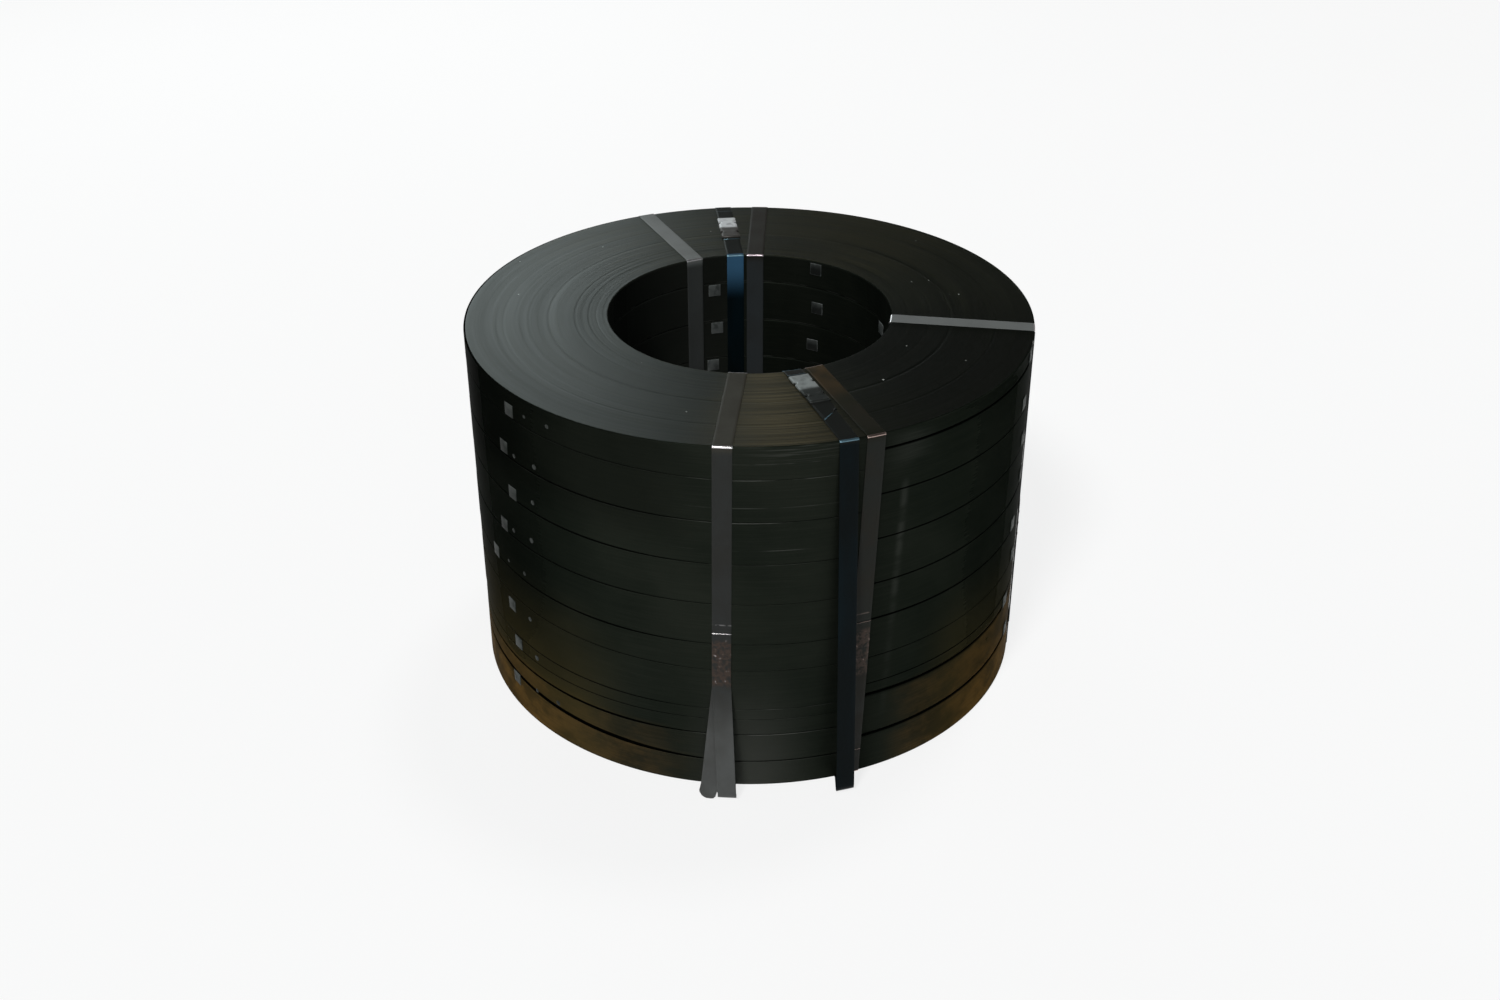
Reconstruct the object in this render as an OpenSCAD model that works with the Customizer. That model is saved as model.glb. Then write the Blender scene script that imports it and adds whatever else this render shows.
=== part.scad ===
// Coil of narrow steel strip, standing on one end and held by seven steel ties.
// The axis of the coil is Z, and its lower end face lies on Z = 0. The ties pass just under it.

/* [Coil] */
// Radius of the outer wall
coil_r = 300; // [270:1:340]
// Radius of the bore
bore_r = 150; // [130:1:170]
// Height of the coil
coil_h = 395; // [385:1:420]
// Height of one lap of strip
lap_pitch = 47.4; // [44:0.2:48]
// Thickness of the outermost layer of strip
layer_t = 1; // [0.9:0.1:2]
// Depth of the first lap line below the top, on the outermost layer
layer_first_lap = 32; // [24:1:40]
// Depth of the first lap line below the top, on the layer under it
wall_first_lap = 19; // [18:1:40]
// Depth of the first lap line below the top, in the bore
bore_first_lap = 33; // [26:1:40]
// Width of the lines between laps and turns
line_w = 1.2; // [0.6:0.1:2]
// Depth of the lines between laps and turns
line_d = 0.7; // [0.3:0.1:0.8]
// Spacing of the turn lines on the end faces
turn_step = 7.5; // [5:0.5:15]
// Bevel at the edges of the end faces
edge = 1; // [0.8:0.1:1.2]

/* [Ties] */
// Width of a tie
tie_w = 19; // [13:1:19]
// Thickness of a tie
tie_t = 0.5; // [0.4:0.05:0.55]
// Reach of the slack loops beyond the outer wall, at the floor
slack_out = 28; // [20:1:40]
// Radius of the bend at the foot of a slack loop
slack_bend = 9; // [5:1:12]
// Height at which the front tie leaves the wall
slack_z = 125; // [100:1:150]
// Height of the cut end at the top of a lap joint
joint_top = 188; // [170:1:210]
// Height of the cut end at the foot of a lap joint
joint_foot = 30; // [20:1:60]
// Radius of a weld spot
spot_r = 2.4; // [1.5:0.1:3]
// Height of a weld spot above the strap
spot_rise = 0.3; // [0.2:0.1:0.6]
// Spacing of the two rows of weld spots across the tie
spot_across = 9; // [6:0.5:10]
// Spacing of the weld spots along the tie
spot_step = 14; // [10:1:18]
// Angle at which the loose tail fans out from the front tie
fan_angle = 8; // [4:0.5:10]

/* [Seals] */
// Length of a seal
seal_l = 57; // [40:1:60]
// Wall of a seal
seal_wall = 0.9; // [0.6:0.1:1.2]
// Width of the seam under a seal
seal_seam = 6; // [3:0.5:8]
// Radius of a crimp notch in a seal's edge
notch_r = 3; // [2:0.5:4]
// Distance from the bore to the front seal
front_seal_inset = 18; // [10:1:40]
// Distance from the outer wall to the back seal
back_seal_inset = 43; // [36:1:60]
// Length of strap that shows beyond a seal
seal_tail = 26; // [15:1:32]
// Length of strap that shows on the other side of a seal
seal_lead = 5; // [3:1:8]

/* [Lap tabs] */
// Side of a square tab
tab_w = 14; // [10:1:16]
// Thickness of a tab
tab_t = 0.5; // [0.3:0.05:0.55]
// Distance from a tab's edge to the lap line beside it
tab_inset = 1.5; // [1:0.5:4]

/* [Hidden] */
$fn = 96;
// Degrees in a full turn
full_turn = 360;
// Clearance between a piece and the face that it lies on
fit = 0.15;
// Clearance round the straps inside a seal
seal_fit = 0.2;
// Depth to which welded pieces run into each other
bury = 0.1;
// Extra length of every cut
overrun = 5;
// Facets in each bend of a tie
bend_facets = 5;
// Radius of a tie's bend round an edge of the coil, as a share of the edge's bevel
bend_share = 1.5;
tie_bend = edge * bend_share;
// Radius of the gentle bend where the front tie leaves the wall
leave_bend = 60;
// Directions of the ties, in degrees from the X axis
front_angle = -94.5;
front_pair_angle = -70;
right_angle = -8.5;
back_left_angle = 114.5;
back_blue_angle = 96.2;
back_angle = 87.6;
// Sideways shifts of the two ties that run side by side at the front
front_blue_shift = -10;
front_right_shift = 13.5;
// The outermost layer starts under the back left tie and ends just beside the front right one
layer_from_angle = back_left_angle;
layer_to_angle = -61;
layer_span = full_turn + layer_to_angle - layer_from_angle;
// Turns of the tabs about the columns that they stand in, from the top tab down
left_column = -145;
left_column_turns = [4, 1, 3, -1.5, -7, -1, 0.5, -1.5];
right_column = -19;
right_column_turns = [2, -1, 1, 3, -2, 1, -3, 0];
bore_columns = [105.5, 16];
bore_middle_column = 60;
bore_column_turns = [0, -1, 1, 0, -1, 1, -1, 0.5];
layer_r = coil_r + layer_t;
// Distances from the axis to the middles of the seals
front_seal_r = bore_r + front_seal_inset + seal_l / 2;
back_seal_r = coil_r - back_seal_inset - seal_l / 2;
// Height of a strap's lower face in a seal, above the top of the coil
seal_lift = fit + seal_wall + seal_fit;

function unit(v) = v / norm(v);
function side(a, b) = let (d = unit(b - a)) [d.y, -d.x];
function lap_z(first, i) = coil_h - first - i * lap_pitch;
function lap_count(first) = floor((coil_h - first - line_w) / lap_pitch) + 1;

// Three points of a line cut into a wall of radius r, where inward is -1 for the outside and 1 for the bore
function wall_line(r, z, inward, up) =
    [[r, z - up * line_w / 2], [r + inward * line_d, z], [r, z + up * line_w / 2]];

// Three points of a line cut into an end face at height z, where inward is 1 below and -1 on top
function face_line(r, z, inward) =
    [[r - inward * line_w / 2, z], [r, z + inward * line_d], [r + inward * line_w / 2, z]];

function wall_lines_up(r, first) =
    [for (i = [lap_count(first) - 1:-1:0]) each wall_line(r, lap_z(first, i), -1, 1)];
function bore_lines_down(first) =
    [for (i = [0:lap_count(first) - 1]) each wall_line(bore_r, lap_z(first, i), 1, -1)];

turn_count = floor((coil_r - bore_r) / turn_step) - 1;
coil_outline = concat(
    [[bore_r, edge], [bore_r + edge, 0]],
    [for (i = [1:turn_count]) each face_line(bore_r + i * turn_step, 0, 1)],
    [[coil_r - edge, 0], [coil_r, edge]],
    wall_lines_up(coil_r, wall_first_lap),
    [[coil_r, coil_h - edge], [coil_r - edge, coil_h]],
    [for (i = [turn_count:-1:1]) each face_line(bore_r + i * turn_step, coil_h, -1)],
    [[bore_r + edge, coil_h], [bore_r, coil_h - edge]],
    bore_lines_down(bore_first_lap)
);
layer_outline = concat(
    [[coil_r - line_d - bury, 0], [layer_r - edge, 0], [layer_r, edge]],
    wall_lines_up(layer_r, layer_first_lap),
    [[layer_r, coil_h - edge], [layer_r - edge, coil_h], [coil_r - line_d - bury, coil_h]]
);

// An arc of radius r that rounds the corner b between a and c
function fillet(a, b, c, r) =
    let (u = unit(a - b), v = unit(c - b), half = acos(u * v) / 2)
    let (centre = b + unit(u + v) * r / sin(half))
    let (from = b + u * r / tan(half) - centre, to = b + v * r / tan(half) - centre)
    let (start = atan2(from.y, from.x), end = atan2(to.y, to.x))
    let (sweep = (end - start + full_turn * 3 / 2) % full_turn - full_turn / 2)
    [for (i = [0:bend_facets]) let (w = start + sweep * i / bend_facets) centre + r * [cos(w), sin(w)]];

// A closed loop through corners given as [radius, height, bend]
function loop_line(corners) =
    let (n = len(corners), p = [for (c = corners) [c[0], c[1]]])
    [for (i = [0:n - 1]) each fillet(p[(i + n - 1) % n], p[i], p[(i + 1) % n], corners[i][2])];

// The same loop, moved outward by the thickness t
function outward(line, t) =
    let (n = len(line))
    [for (i = [0:n - 1])
        let (a = side(line[(i + n - 1) % n], line[i]), b = side(line[i], line[(i + 1) % n]))
        line[i] + unit(a + b) * t / sqrt((1 + a * b) / 2)];

bore_foot = [bore_r - fit, -fit, tie_bend];
bore_head = [bore_r - fit, coil_h + fit, tie_bend];
function wall_foot(r) = [r + fit, -fit, tie_bend];
function wall_head(r) = [r + fit, coil_h + fit, tie_bend];
slack_foot = [layer_r + slack_out, -fit, slack_bend];
slack_leave = [layer_r + fit, slack_z, leave_bend];
function seal_run(r) = [
    [r + seal_l / 2, coil_h + seal_lift, leave_bend],
    [r - seal_l / 2, coil_h + seal_lift, leave_bend]
];

// Places its children in the upright plane of a tie that points along an angle and is shifted sideways
module at_tie(angle, shift = 0) {
    rotate([0, 0, angle]) translate([0, shift, 0]) children();
}

// A strap of even width round the section of the coil, cut from a turned shell
module strap_loop(corners, angle, shift = 0) {
    line = loop_line(corners);
    reach = layer_r + slack_out + overrun;
    intersection() {
        rotate_extrude() difference() {
            polygon(outward(line, tie_t));
            polygon(line);
        }
        at_tie(angle, shift)
            translate([0, -tie_w / 2, -overrun]) cube([reach, tie_w, coil_h + 2 * overrun]);
    }
}

// The second layer of a lap joint on the outer wall, with its weld spots
module lap_joint(r, foot, angle, shift = 0) {
    ply_r = r + fit + tie_t;
    intersection() {
        rotate_extrude() translate([ply_r - bury, foot]) square([tie_t + bury, joint_top - foot]);
        at_tie(angle, shift) translate([0, -tie_w / 2, 0]) cube([ply_r + overrun, tie_w, coil_h]);
    }
    at_tie(angle, shift)
        for (i = [1:3], j = [-1, 1])
            translate([ply_r - bury, j * spot_across / 2, joint_top - i * spot_step])
                rotate([0, 90, 0]) cylinder(h = tie_t + bury + spot_rise, r = spot_r);
}

// The loose end of the front tie, which fans out behind the slack loop and beside it, down to the floor
module fan_tail() {
    top = [layer_r + fit, slack_z + tie_w / 2];
    foot = [layer_r + slack_out - slack_bend, 0];
    at_tie(front_angle) translate([0, 0, slack_z]) rotate([-fan_angle, 0, 0]) translate([0, 0, -slack_z])
        rotate([90, 0, 0]) linear_extrude(tie_w, center = true)
            polygon([top, foot, foot + [tie_t, 0], top + [tie_t, 0]]);
}

// The upper end of a sealed strap, which lies on the lower end inside the seal
module sealed_end(r, angle, shift = 0) {
    start = r - seal_l / 2 - seal_lead;
    at_tie(angle, shift)
        translate([start, -tie_w / 2, coil_h + seal_lift + tie_t - bury])
            cube([seal_lead + seal_l + seal_tail, tie_w, tie_t + bury]);
}

// A sleeve folded round both straps, open along a seam below, with two pairs of crimp notches
module seal(r, angle, shift = 0) {
    slot_w = tie_w + 2 * seal_fit;
    slot_h = 2 * (tie_t + seal_fit);
    body_w = slot_w + 2 * seal_wall;
    body_h = slot_h + 2 * seal_wall;
    at_tie(angle, shift) translate([r, 0, coil_h + fit]) difference() {
        translate([-seal_l / 2, -body_w / 2, 0]) cube([seal_l, body_w, body_h]);
        translate([-seal_l / 2 - overrun, -slot_w / 2, seal_wall])
            cube([seal_l + 2 * overrun, slot_w, slot_h]);
        translate([-seal_l / 2 - overrun, -seal_seam / 2, -overrun])
            cube([seal_l + 2 * overrun, seal_seam, overrun + 2 * seal_wall]);
        for (i = [-1, 1], j = [-1, 1])
            translate([i * seal_l / 4, j * body_w / 2, -overrun])
                cylinder(h = body_h + 2 * overrun, r = notch_r);
    }
}

// A square tab on a round wall, from radius r outward, with its middle at a height and an angle
module tab(r, z, angle) {
    span = tab_w / (2 * PI * r) * full_turn;
    rotate([0, 0, angle - span / 2])
        rotate_extrude(angle = span) translate([r, z - tab_w / 2]) square([tab_t, tab_w]);
}

module strip_coil() {
    color([0.09, 0.1, 0.09]) union() {
        rotate_extrude() polygon(coil_outline);
        rotate([0, 0, layer_from_angle]) rotate_extrude(angle = layer_span) polygon(layer_outline);
    }
}

module front_tie() {
    color([0.3, 0.3, 0.31]) union() {
        strap_loop([bore_foot, slack_foot, slack_leave, wall_head(layer_r), bore_head], front_angle);
        lap_joint(layer_r, slack_z, front_angle);
        fan_tail();
    }
}

module front_blue_tie() {
    corners = concat([bore_foot, slack_foot, wall_head(layer_r)], seal_run(front_seal_r), [bore_head]);
    color([0.1, 0.13, 0.2]) union() {
        strap_loop(corners, front_pair_angle, front_blue_shift);
        sealed_end(front_seal_r, front_pair_angle, front_blue_shift);
    }
}

module grey_tie(r, angle, shift = 0) {
    color([0.3, 0.3, 0.31]) union() {
        strap_loop([bore_foot, wall_foot(r), wall_head(r), bore_head], angle, shift);
        lap_joint(r, joint_foot, angle, shift);
    }
}

module front_right_tie() {
    grey_tie(layer_r, front_pair_angle, front_right_shift);
}

module right_tie() {
    grey_tie(coil_r, right_angle);
}

module back_left_tie() {
    grey_tie(layer_r, back_left_angle);
}

module back_blue_tie() {
    corners = concat([bore_foot, wall_foot(coil_r), wall_head(coil_r)], seal_run(back_seal_r), [bore_head]);
    color([0.1, 0.13, 0.2]) union() {
        strap_loop(corners, back_blue_angle);
        sealed_end(back_seal_r, back_blue_angle);
    }
}

module back_tie() {
    grey_tie(coil_r, back_angle);
}

module front_seal() {
    color([0.6, 0.6, 0.6]) seal(front_seal_r, front_pair_angle, front_blue_shift);
}

module back_seal() {
    color([0.6, 0.6, 0.6]) seal(back_seal_r, back_blue_angle);
}

module outside_lap_tabs() {
    color([0.5, 0.5, 0.5]) {
        for (i = [0:lap_count(layer_first_lap) - 1])
            tab(layer_r + fit, lap_z(layer_first_lap, i) + tab_inset + tab_w / 2,
                left_column + left_column_turns[i]);
        for (i = [0:lap_count(wall_first_lap) - 1])
            tab(coil_r + fit, lap_z(wall_first_lap, i) + tab_inset + tab_w / 2,
                right_column + right_column_turns[i]);
    }
}

module bore_lap_tabs() {
    color([0.5, 0.5, 0.5]) for (i = [0:lap_count(bore_first_lap) - 1]) {
        for (column = bore_columns)
            tab(bore_r - fit - tab_t, lap_z(bore_first_lap, i) - tab_inset - tab_w / 2,
                column + bore_column_turns[i]);
        tab(bore_r - fit - tab_t, lap_z(bore_first_lap, i) + lap_pitch / 2,
            bore_middle_column + bore_column_turns[i]);
    }
}

strip_coil();
front_tie();
front_blue_tie();
front_right_tie();
right_tie();
back_left_tie();
back_blue_tie();
back_tie();
front_seal();
back_seal();
outside_lap_tabs();
bore_lap_tabs();
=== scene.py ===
"""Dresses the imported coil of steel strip: its winding, ties, seals, lap tabs and weld dots."""

import logging
import math
from dataclasses import dataclass, field
from enum import Enum
from typing import Sequence, Union

import bpy
import numpy as np
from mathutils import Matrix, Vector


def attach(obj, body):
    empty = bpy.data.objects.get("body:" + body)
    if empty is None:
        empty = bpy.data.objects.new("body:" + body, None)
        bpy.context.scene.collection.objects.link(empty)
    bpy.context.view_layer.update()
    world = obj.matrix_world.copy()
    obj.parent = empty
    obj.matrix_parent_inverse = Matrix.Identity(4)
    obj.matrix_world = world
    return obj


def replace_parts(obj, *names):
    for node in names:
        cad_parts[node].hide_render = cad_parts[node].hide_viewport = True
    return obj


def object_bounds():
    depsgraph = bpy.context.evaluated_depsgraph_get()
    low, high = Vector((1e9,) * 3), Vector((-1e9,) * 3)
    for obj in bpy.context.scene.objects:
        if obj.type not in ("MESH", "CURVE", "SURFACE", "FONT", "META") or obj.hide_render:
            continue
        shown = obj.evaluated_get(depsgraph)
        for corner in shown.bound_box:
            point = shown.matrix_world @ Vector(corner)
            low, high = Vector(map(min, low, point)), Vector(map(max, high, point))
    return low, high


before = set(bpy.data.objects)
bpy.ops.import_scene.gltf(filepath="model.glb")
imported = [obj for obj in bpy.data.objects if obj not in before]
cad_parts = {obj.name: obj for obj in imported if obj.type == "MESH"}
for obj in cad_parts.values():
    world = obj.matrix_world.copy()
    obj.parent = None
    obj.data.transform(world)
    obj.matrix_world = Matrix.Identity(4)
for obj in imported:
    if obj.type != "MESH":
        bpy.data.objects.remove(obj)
CAD_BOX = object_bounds()

Array = np.ndarray
Colour = tuple[float, float, float]
Place = tuple[float, float, float]
Corner = tuple[float, float, float]
Span = tuple[float, float]
MM = 0.001
BODY = "root"
log = logging.getLogger("steel_coil")


class Slot(Enum):
    """Material slots of the record."""

    STRIP = "black_strip"
    GREY_TIE = "grey_tie"
    BLUE_TIE = "blue_tie"
    SEAL = "seal"
    TAB = "tab"


def smooth_step(x: Array, low: float, high: float) -> Array:
    """Rises smoothly from 0 at low to 1 at high, as 3t^2 - 2t^3."""
    t = np.clip((x - low) / (high - low), 0.0, 1.0)
    return t * t * (3.0 - 2.0 * t)


def grid_quads(rows: int, columns: int, close_rows: bool, close_columns: bool) -> Array:
    """Joins neighbouring points of a grid, numbered row by row, into quads.

    Args:
        rows: Number of rows.
        columns: Number of columns.
        close_rows: Whether the last row joins the first.
        close_columns: Whether the last column joins the first.

    Returns:
        One line of four point numbers for each quad.
    """
    i, j = np.meshgrid(
        np.arange(rows if close_rows else rows - 1),
        np.arange(columns if close_columns else columns - 1),
        indexing="ij",
    )
    i2, j2 = (i + 1) % rows, (j + 1) % columns
    corners = [i * columns + j, i * columns + j2, i2 * columns + j2, i2 * columns + j]
    return np.stack(corners, axis=-1).reshape(-1, 4)


def end_caps(rows: int, columns: int) -> list[list[int]]:
    """Gives the faces that close the first and the last row of a grid, numbered row by row."""
    last = (rows - 1) * columns
    return [list(range(columns)), list(range(last, last + columns))[::-1]]


def turned(radial: Array, lateral: Array, height: Array, angle: float) -> Array:
    """Turns points given along, across and above a direction into the frame.

    Args:
        radial: Distances along the direction.
        lateral: Distances across it, to its left.
        height: Heights.
        angle: The direction, in degrees from the X axis.

    Returns:
        Points as lines of x, y, z.
    """
    c, s = math.cos(math.radians(angle)), math.sin(math.radians(angle))
    return np.stack([radial * c - lateral * s, radial * s + lateral * c, height], axis=-1).reshape(-1, 3)


def wound(r: Array, angle: Array, z: Array) -> Array:
    """Turns radii, directions in degrees and heights, in millimetres, into lines of x, y, z in metres."""
    turn = np.radians(angle)
    return np.stack([r * np.cos(turn), r * np.sin(turn), z], axis=-1).reshape(-1, 3) * MM


def placed(name: str, data: bpy.types.ID) -> bpy.types.Object:
    """Makes an object and puts it into the scene.

    Args:
        name: Name of the object.
        data: Its mesh, lamp or camera.

    Returns:
        The object, at the origin.
    """
    made = bpy.data.objects.new(name, data)
    bpy.context.scene.collection.objects.link(made)
    return made


@dataclass
class Shell:
    """A closed surface with marks, which are numbers at its points that a finish reads."""

    points: Array
    quads: Array
    caps: list[list[int]] = field(default_factory=list)
    marks: dict[str, Array] = field(default_factory=dict)

    def outward(self) -> "Shell":
        """Turns the faces round if the volume that they enclose comes out negative.

        Returns:
            The same shell.
        """
        a, b, c, d = (self.points[self.quads[:, k]] for k in range(4))
        volume = np.einsum("ij,ij->", a, np.cross(b, c)) + np.einsum("ij,ij->", a, np.cross(c, d))
        if volume < 0.0:
            self.quads = self.quads[:, ::-1]
            self.caps = [cap[::-1] for cap in self.caps]
        return self

    @staticmethod
    def join(shells: Sequence["Shell"]) -> "Shell":
        """Puts several shells into one.

        Args:
            shells: The shells, with the same marks.

        Returns:
            One shell that holds all of them.
        """
        starts = np.cumsum([0] + [len(s.points) for s in shells])
        return Shell(
            points=np.concatenate([s.points for s in shells]),
            quads=np.concatenate([s.quads + n for s, n in zip(shells, starts)]),
            caps=[[p + int(n) for p in cap] for s, n in zip(shells, starts) for cap in s.caps],
            marks={key: np.concatenate([s.marks[key] for s in shells]) for key in shells[0].marks},
        )

    def piece(self, name: str, finishes: Sequence[bpy.types.Material], slot: Slot) -> bpy.types.Object:
        """Makes an object that rides on the coil.

        Args:
            name: Name of the piece.
            finishes: Its materials; the first one goes on all faces.
            slot: Material slot of the record; not used.

        Returns:
            The object, at the origin.
        """
        mesh = bpy.data.meshes.new(name)
        mesh.from_pydata(self.points.tolist(), [], self.quads.tolist() + self.caps)
        for key, values in self.marks.items():
            mark = mesh.attributes.new(key, "FLOAT", "POINT")
            mark.data.foreach_set("value", values.astype(np.float32))
        mesh.polygons.foreach_set("use_smooth", np.ones(len(mesh.polygons), dtype=bool))
        for finish in finishes:
            mesh.materials.append(finish)
        mesh.update()
        piece = placed(name, mesh)
        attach(piece, BODY)
        log.info("%s: %d points, %d faces", name, len(self.points), len(mesh.polygons))
        return piece


Number = Union["Wire", float]


class Wire:
    """A value in a node tree, on which Python's operators add Math nodes."""

    def __init__(self, shader: "Shader", socket: bpy.types.NodeSocket) -> None:
        """Keeps the shader and the socket that gives the value."""
        self.shader = shader
        self.socket = socket

    def math(self, operation: str, *others: Number) -> "Wire":
        """Adds a Math node of this value and the others."""
        values = dict(enumerate((self, *others)))
        return self.shader.node("ShaderNodeMath", {"operation": operation}, values)

    def __add__(self, other: Number) -> "Wire":
        """Sum."""
        return self.math("ADD", other)

    __radd__ = __add__

    def __mul__(self, other: Number) -> "Wire":
        """Product."""
        return self.math("MULTIPLY", other)

    __rmul__ = __mul__

    def __sub__(self, other: Number) -> "Wire":
        """Difference."""
        return self.math("SUBTRACT", other)

    def __rsub__(self, other: Number) -> "Wire":
        """Difference from a number."""
        return self * -1.0 + other

    def __truediv__(self, other: Number) -> "Wire":
        """Quotient."""
        return self.math("DIVIDE", other)

    def smooth(self, low: float, high: float) -> "Wire":
        """Rises smoothly from 0 at low to 1 at high, or falls where high is below low.

        Args:
            low: Value at which the result is 0.
            high: Value at which it is 1.

        Returns:
            The result, held at 0 and 1 beyond them.
        """
        if high < low:
            return 1.0 - self.smooth(high, low)
        sockets = {"Value": self, "From Min": low, "From Max": high}
        return self.shader.node("ShaderNodeMapRange", {"interpolation_type": "SMOOTHSTEP"}, sockets)

    def hump(self, middle: float, width: float) -> "Wire":
        """A bell that is 1 at the middle and falls to 0 at the width on both sides."""
        return (self - middle).math("ABSOLUTE").smooth(width, 0.0)


class Shader:
    """Writes the node tree of one material."""

    def __init__(self, name: str) -> None:
        """Makes an empty material.

        Args:
            name: Name of the material.
        """
        self.material = bpy.data.materials.new(name)
        self.material.use_nodes = True
        self.tree = self.material.node_tree
        self.tree.nodes.clear()

    def node(self, kind: str, settings: dict, sockets: dict, out: Union[int, str] = 0) -> Wire:
        """Adds a node.

        Args:
            kind: The node's type.
            settings: Its properties, which are set first.
            sockets: Values or wires for its inputs, by name or place.
            out: Name or place of the output that is used.

        Returns:
            A wire from that output.
        """
        node = self.tree.nodes.new(kind)
        for key, value in settings.items():
            setattr(node, key, value)
        for key, value in sockets.items():
            if isinstance(value, Wire):
                self.tree.links.new(value.socket, node.inputs[key])
            else:
                node.inputs[key].default_value = value
        return Wire(self, node.outputs[out])

    def place(self) -> tuple[Wire, Wire, Wire]:
        """Gives x, y and z on the object."""
        point = self.node("ShaderNodeTexCoord", {}, {}, "Object")
        return tuple(self.node("ShaderNodeSeparateXYZ", {}, {0: point}, axis) for axis in "XYZ")

    def polar(self, x: Wire, y: Wire) -> tuple[Wire, Wire, Wire]:
        """Gives the distance from the axis, and x and y as shares of it."""
        r = (x * x + y * y).math("SQRT")
        return r, x / r, y / r

    def vector(self, x: Number, y: Number, z: Number) -> Wire:
        """Joins three values into a vector."""
        return self.node("ShaderNodeCombineXYZ", {}, {0: x, 1: y, 2: z})

    def noise(self, point: Wire, scale: float = 1.0, detail: float = 2.0, rough: float = 0.5) -> Wire:
        """Soft noise at a point, about 0.5 in the middle."""
        sockets = {"Vector": point, "Scale": scale, "Detail": detail, "Roughness": rough}
        return self.node("ShaderNodeTexNoise", {}, sockets, "Fac")

    def mark(self, name: str) -> Wire:
        """Reads a mark of the shell."""
        return self.node("ShaderNodeAttribute", {"attribute_name": name}, {}, "Fac")

    def mix(self, share: Number, first: Union[Wire, Colour], second: Union[Wire, Colour]) -> Wire:
        """Mixes two colours.

        Args:
            share: The share that the second one has.
            first: The first colour.
            second: The second colour.

        Returns:
            The mixed colour.
        """
        colours = [c if isinstance(c, Wire) else (*c, 1.0) for c in (first, second)]
        sockets = {0: share, 6: colours[0], 7: colours[1]}
        return self.node("ShaderNodeMix", {"data_type": "RGBA"}, sockets, 2)

    def bump(self, height: Wire, strength: float, depth: float) -> Wire:
        """A normal that follows a height from 0 to 1, for relief of that depth in metres."""
        sockets = {"Strength": strength, "Distance": depth, "Height": height}
        return self.node("ShaderNodeBump", {}, sockets)

    def surface(self, **sockets: Union[Wire, float]) -> bpy.types.Material:
        """Ends the tree in one surface shader.

        Args:
            sockets: Its inputs by name, with _ for a space.

        Returns:
            The finished material.
        """
        named = {key.replace("_", " "): value for key, value in sockets.items()}
        return self.end(self.node("ShaderNodeBsdfPrincipled", {}, named))

    def end(self, shader: Wire) -> bpy.types.Material:
        """Links a shader to the output.

        Args:
            shader: The shader.

        Returns:
            The finished material.
        """
        output = self.tree.nodes.new("ShaderNodeOutputMaterial")
        self.tree.links.new(shader.socket, output.inputs["Surface"])
        return self.material


@dataclass(frozen=True)
class WoundEdges:
    """End faces of the winding: the edges of hundreds of turns, with fine rings and streaks."""

    dark: Colour = (0.0030, 0.0038, 0.0016)
    pale: Colour = (0.0098, 0.0108, 0.0047)
    # Colour of the painted shade on the right front of the top face.
    right_front_shade: Colour = (0.0006, 0.0010, 0.0003)
    # Colour of the painted sheen at the front of the top face.
    highlight_and_wear: Colour = (0.066, 0.054, 0.028)
    # Colour of the painted sheen in streaks at the back of the top face.
    back_sheen: Colour = (0.0285, 0.0245, 0.0085)
    speck: Colour = (0.30, 0.31, 0.29)
    fine_scale: float = 1600.0
    ring_scale: float = 260.0
    broad_scale: float = 30.0
    speck_scale: float = 210.0
    gloss: float = 0.25
    bump: float = 0.28
    relief: float = 0.25

    def material(self) -> bpy.types.Material:
        """Writes the rings as noise over the radius, drawn out along the turns.

        Returns:
            The material.
        """
        s = Shader("wound_edges")
        x, y, z = s.place()
        r, across, along = s.polar(x, y)
        first, second = across * 1.3 + along * 0.4 + 0.4, along * 1.2 - across * 0.3 + 7.7
        fine = s.noise(s.vector(r * self.fine_scale, first, second), detail=1.0)
        rings = s.noise(s.vector(r * self.ring_scale, first * 0.7, second * 0.7), detail=3.0, rough=0.6)
        broad = s.noise(s.vector(r * self.broad_scale, first * 0.6, second * 0.6), detail=1.0)
        streak = fine.smooth(0.35, 0.72) * rings.smooth(0.30, 0.70)
        colour = s.mix(streak, self.dark, self.pale)
        # Painted sheen: warm streaks over the back half of the top face.
        back = along.smooth(0.30, 0.95)
        colour = s.mix(back * streak, colour, self.back_sheen)
        # Painted shade: darkens the right front of the top face.
        shaded_right_front = across.smooth(0.15, 0.75) * along.smooth(0.30, -0.30)
        colour = s.mix(shaded_right_front * 0.75, colour, self.right_front_shade)
        # Painted sheen: pale warm streaks at the front of the top face.
        front = along.smooth(-0.88, -0.98) * across.hump(0.10, 0.36)
        colour = s.mix(front * (0.2 + 0.8 * fine.smooth(0.38, 0.66)), colour, self.highlight_and_wear)
        dust = s.noise(s.vector(x, y, z), scale=self.speck_scale, detail=0.0).smooth(0.885, 0.91)
        colour = s.mix(dust, colour, self.speck)
        return s.surface(
            Base_Color=colour,
            Roughness=0.26 + 0.14 * rings + 0.10 * broad,
            Specular_IOR_Level=self.gloss,
            Normal=s.bump(0.55 * fine + 0.45 * rings, self.bump, self.relief * MM),
        )


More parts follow.
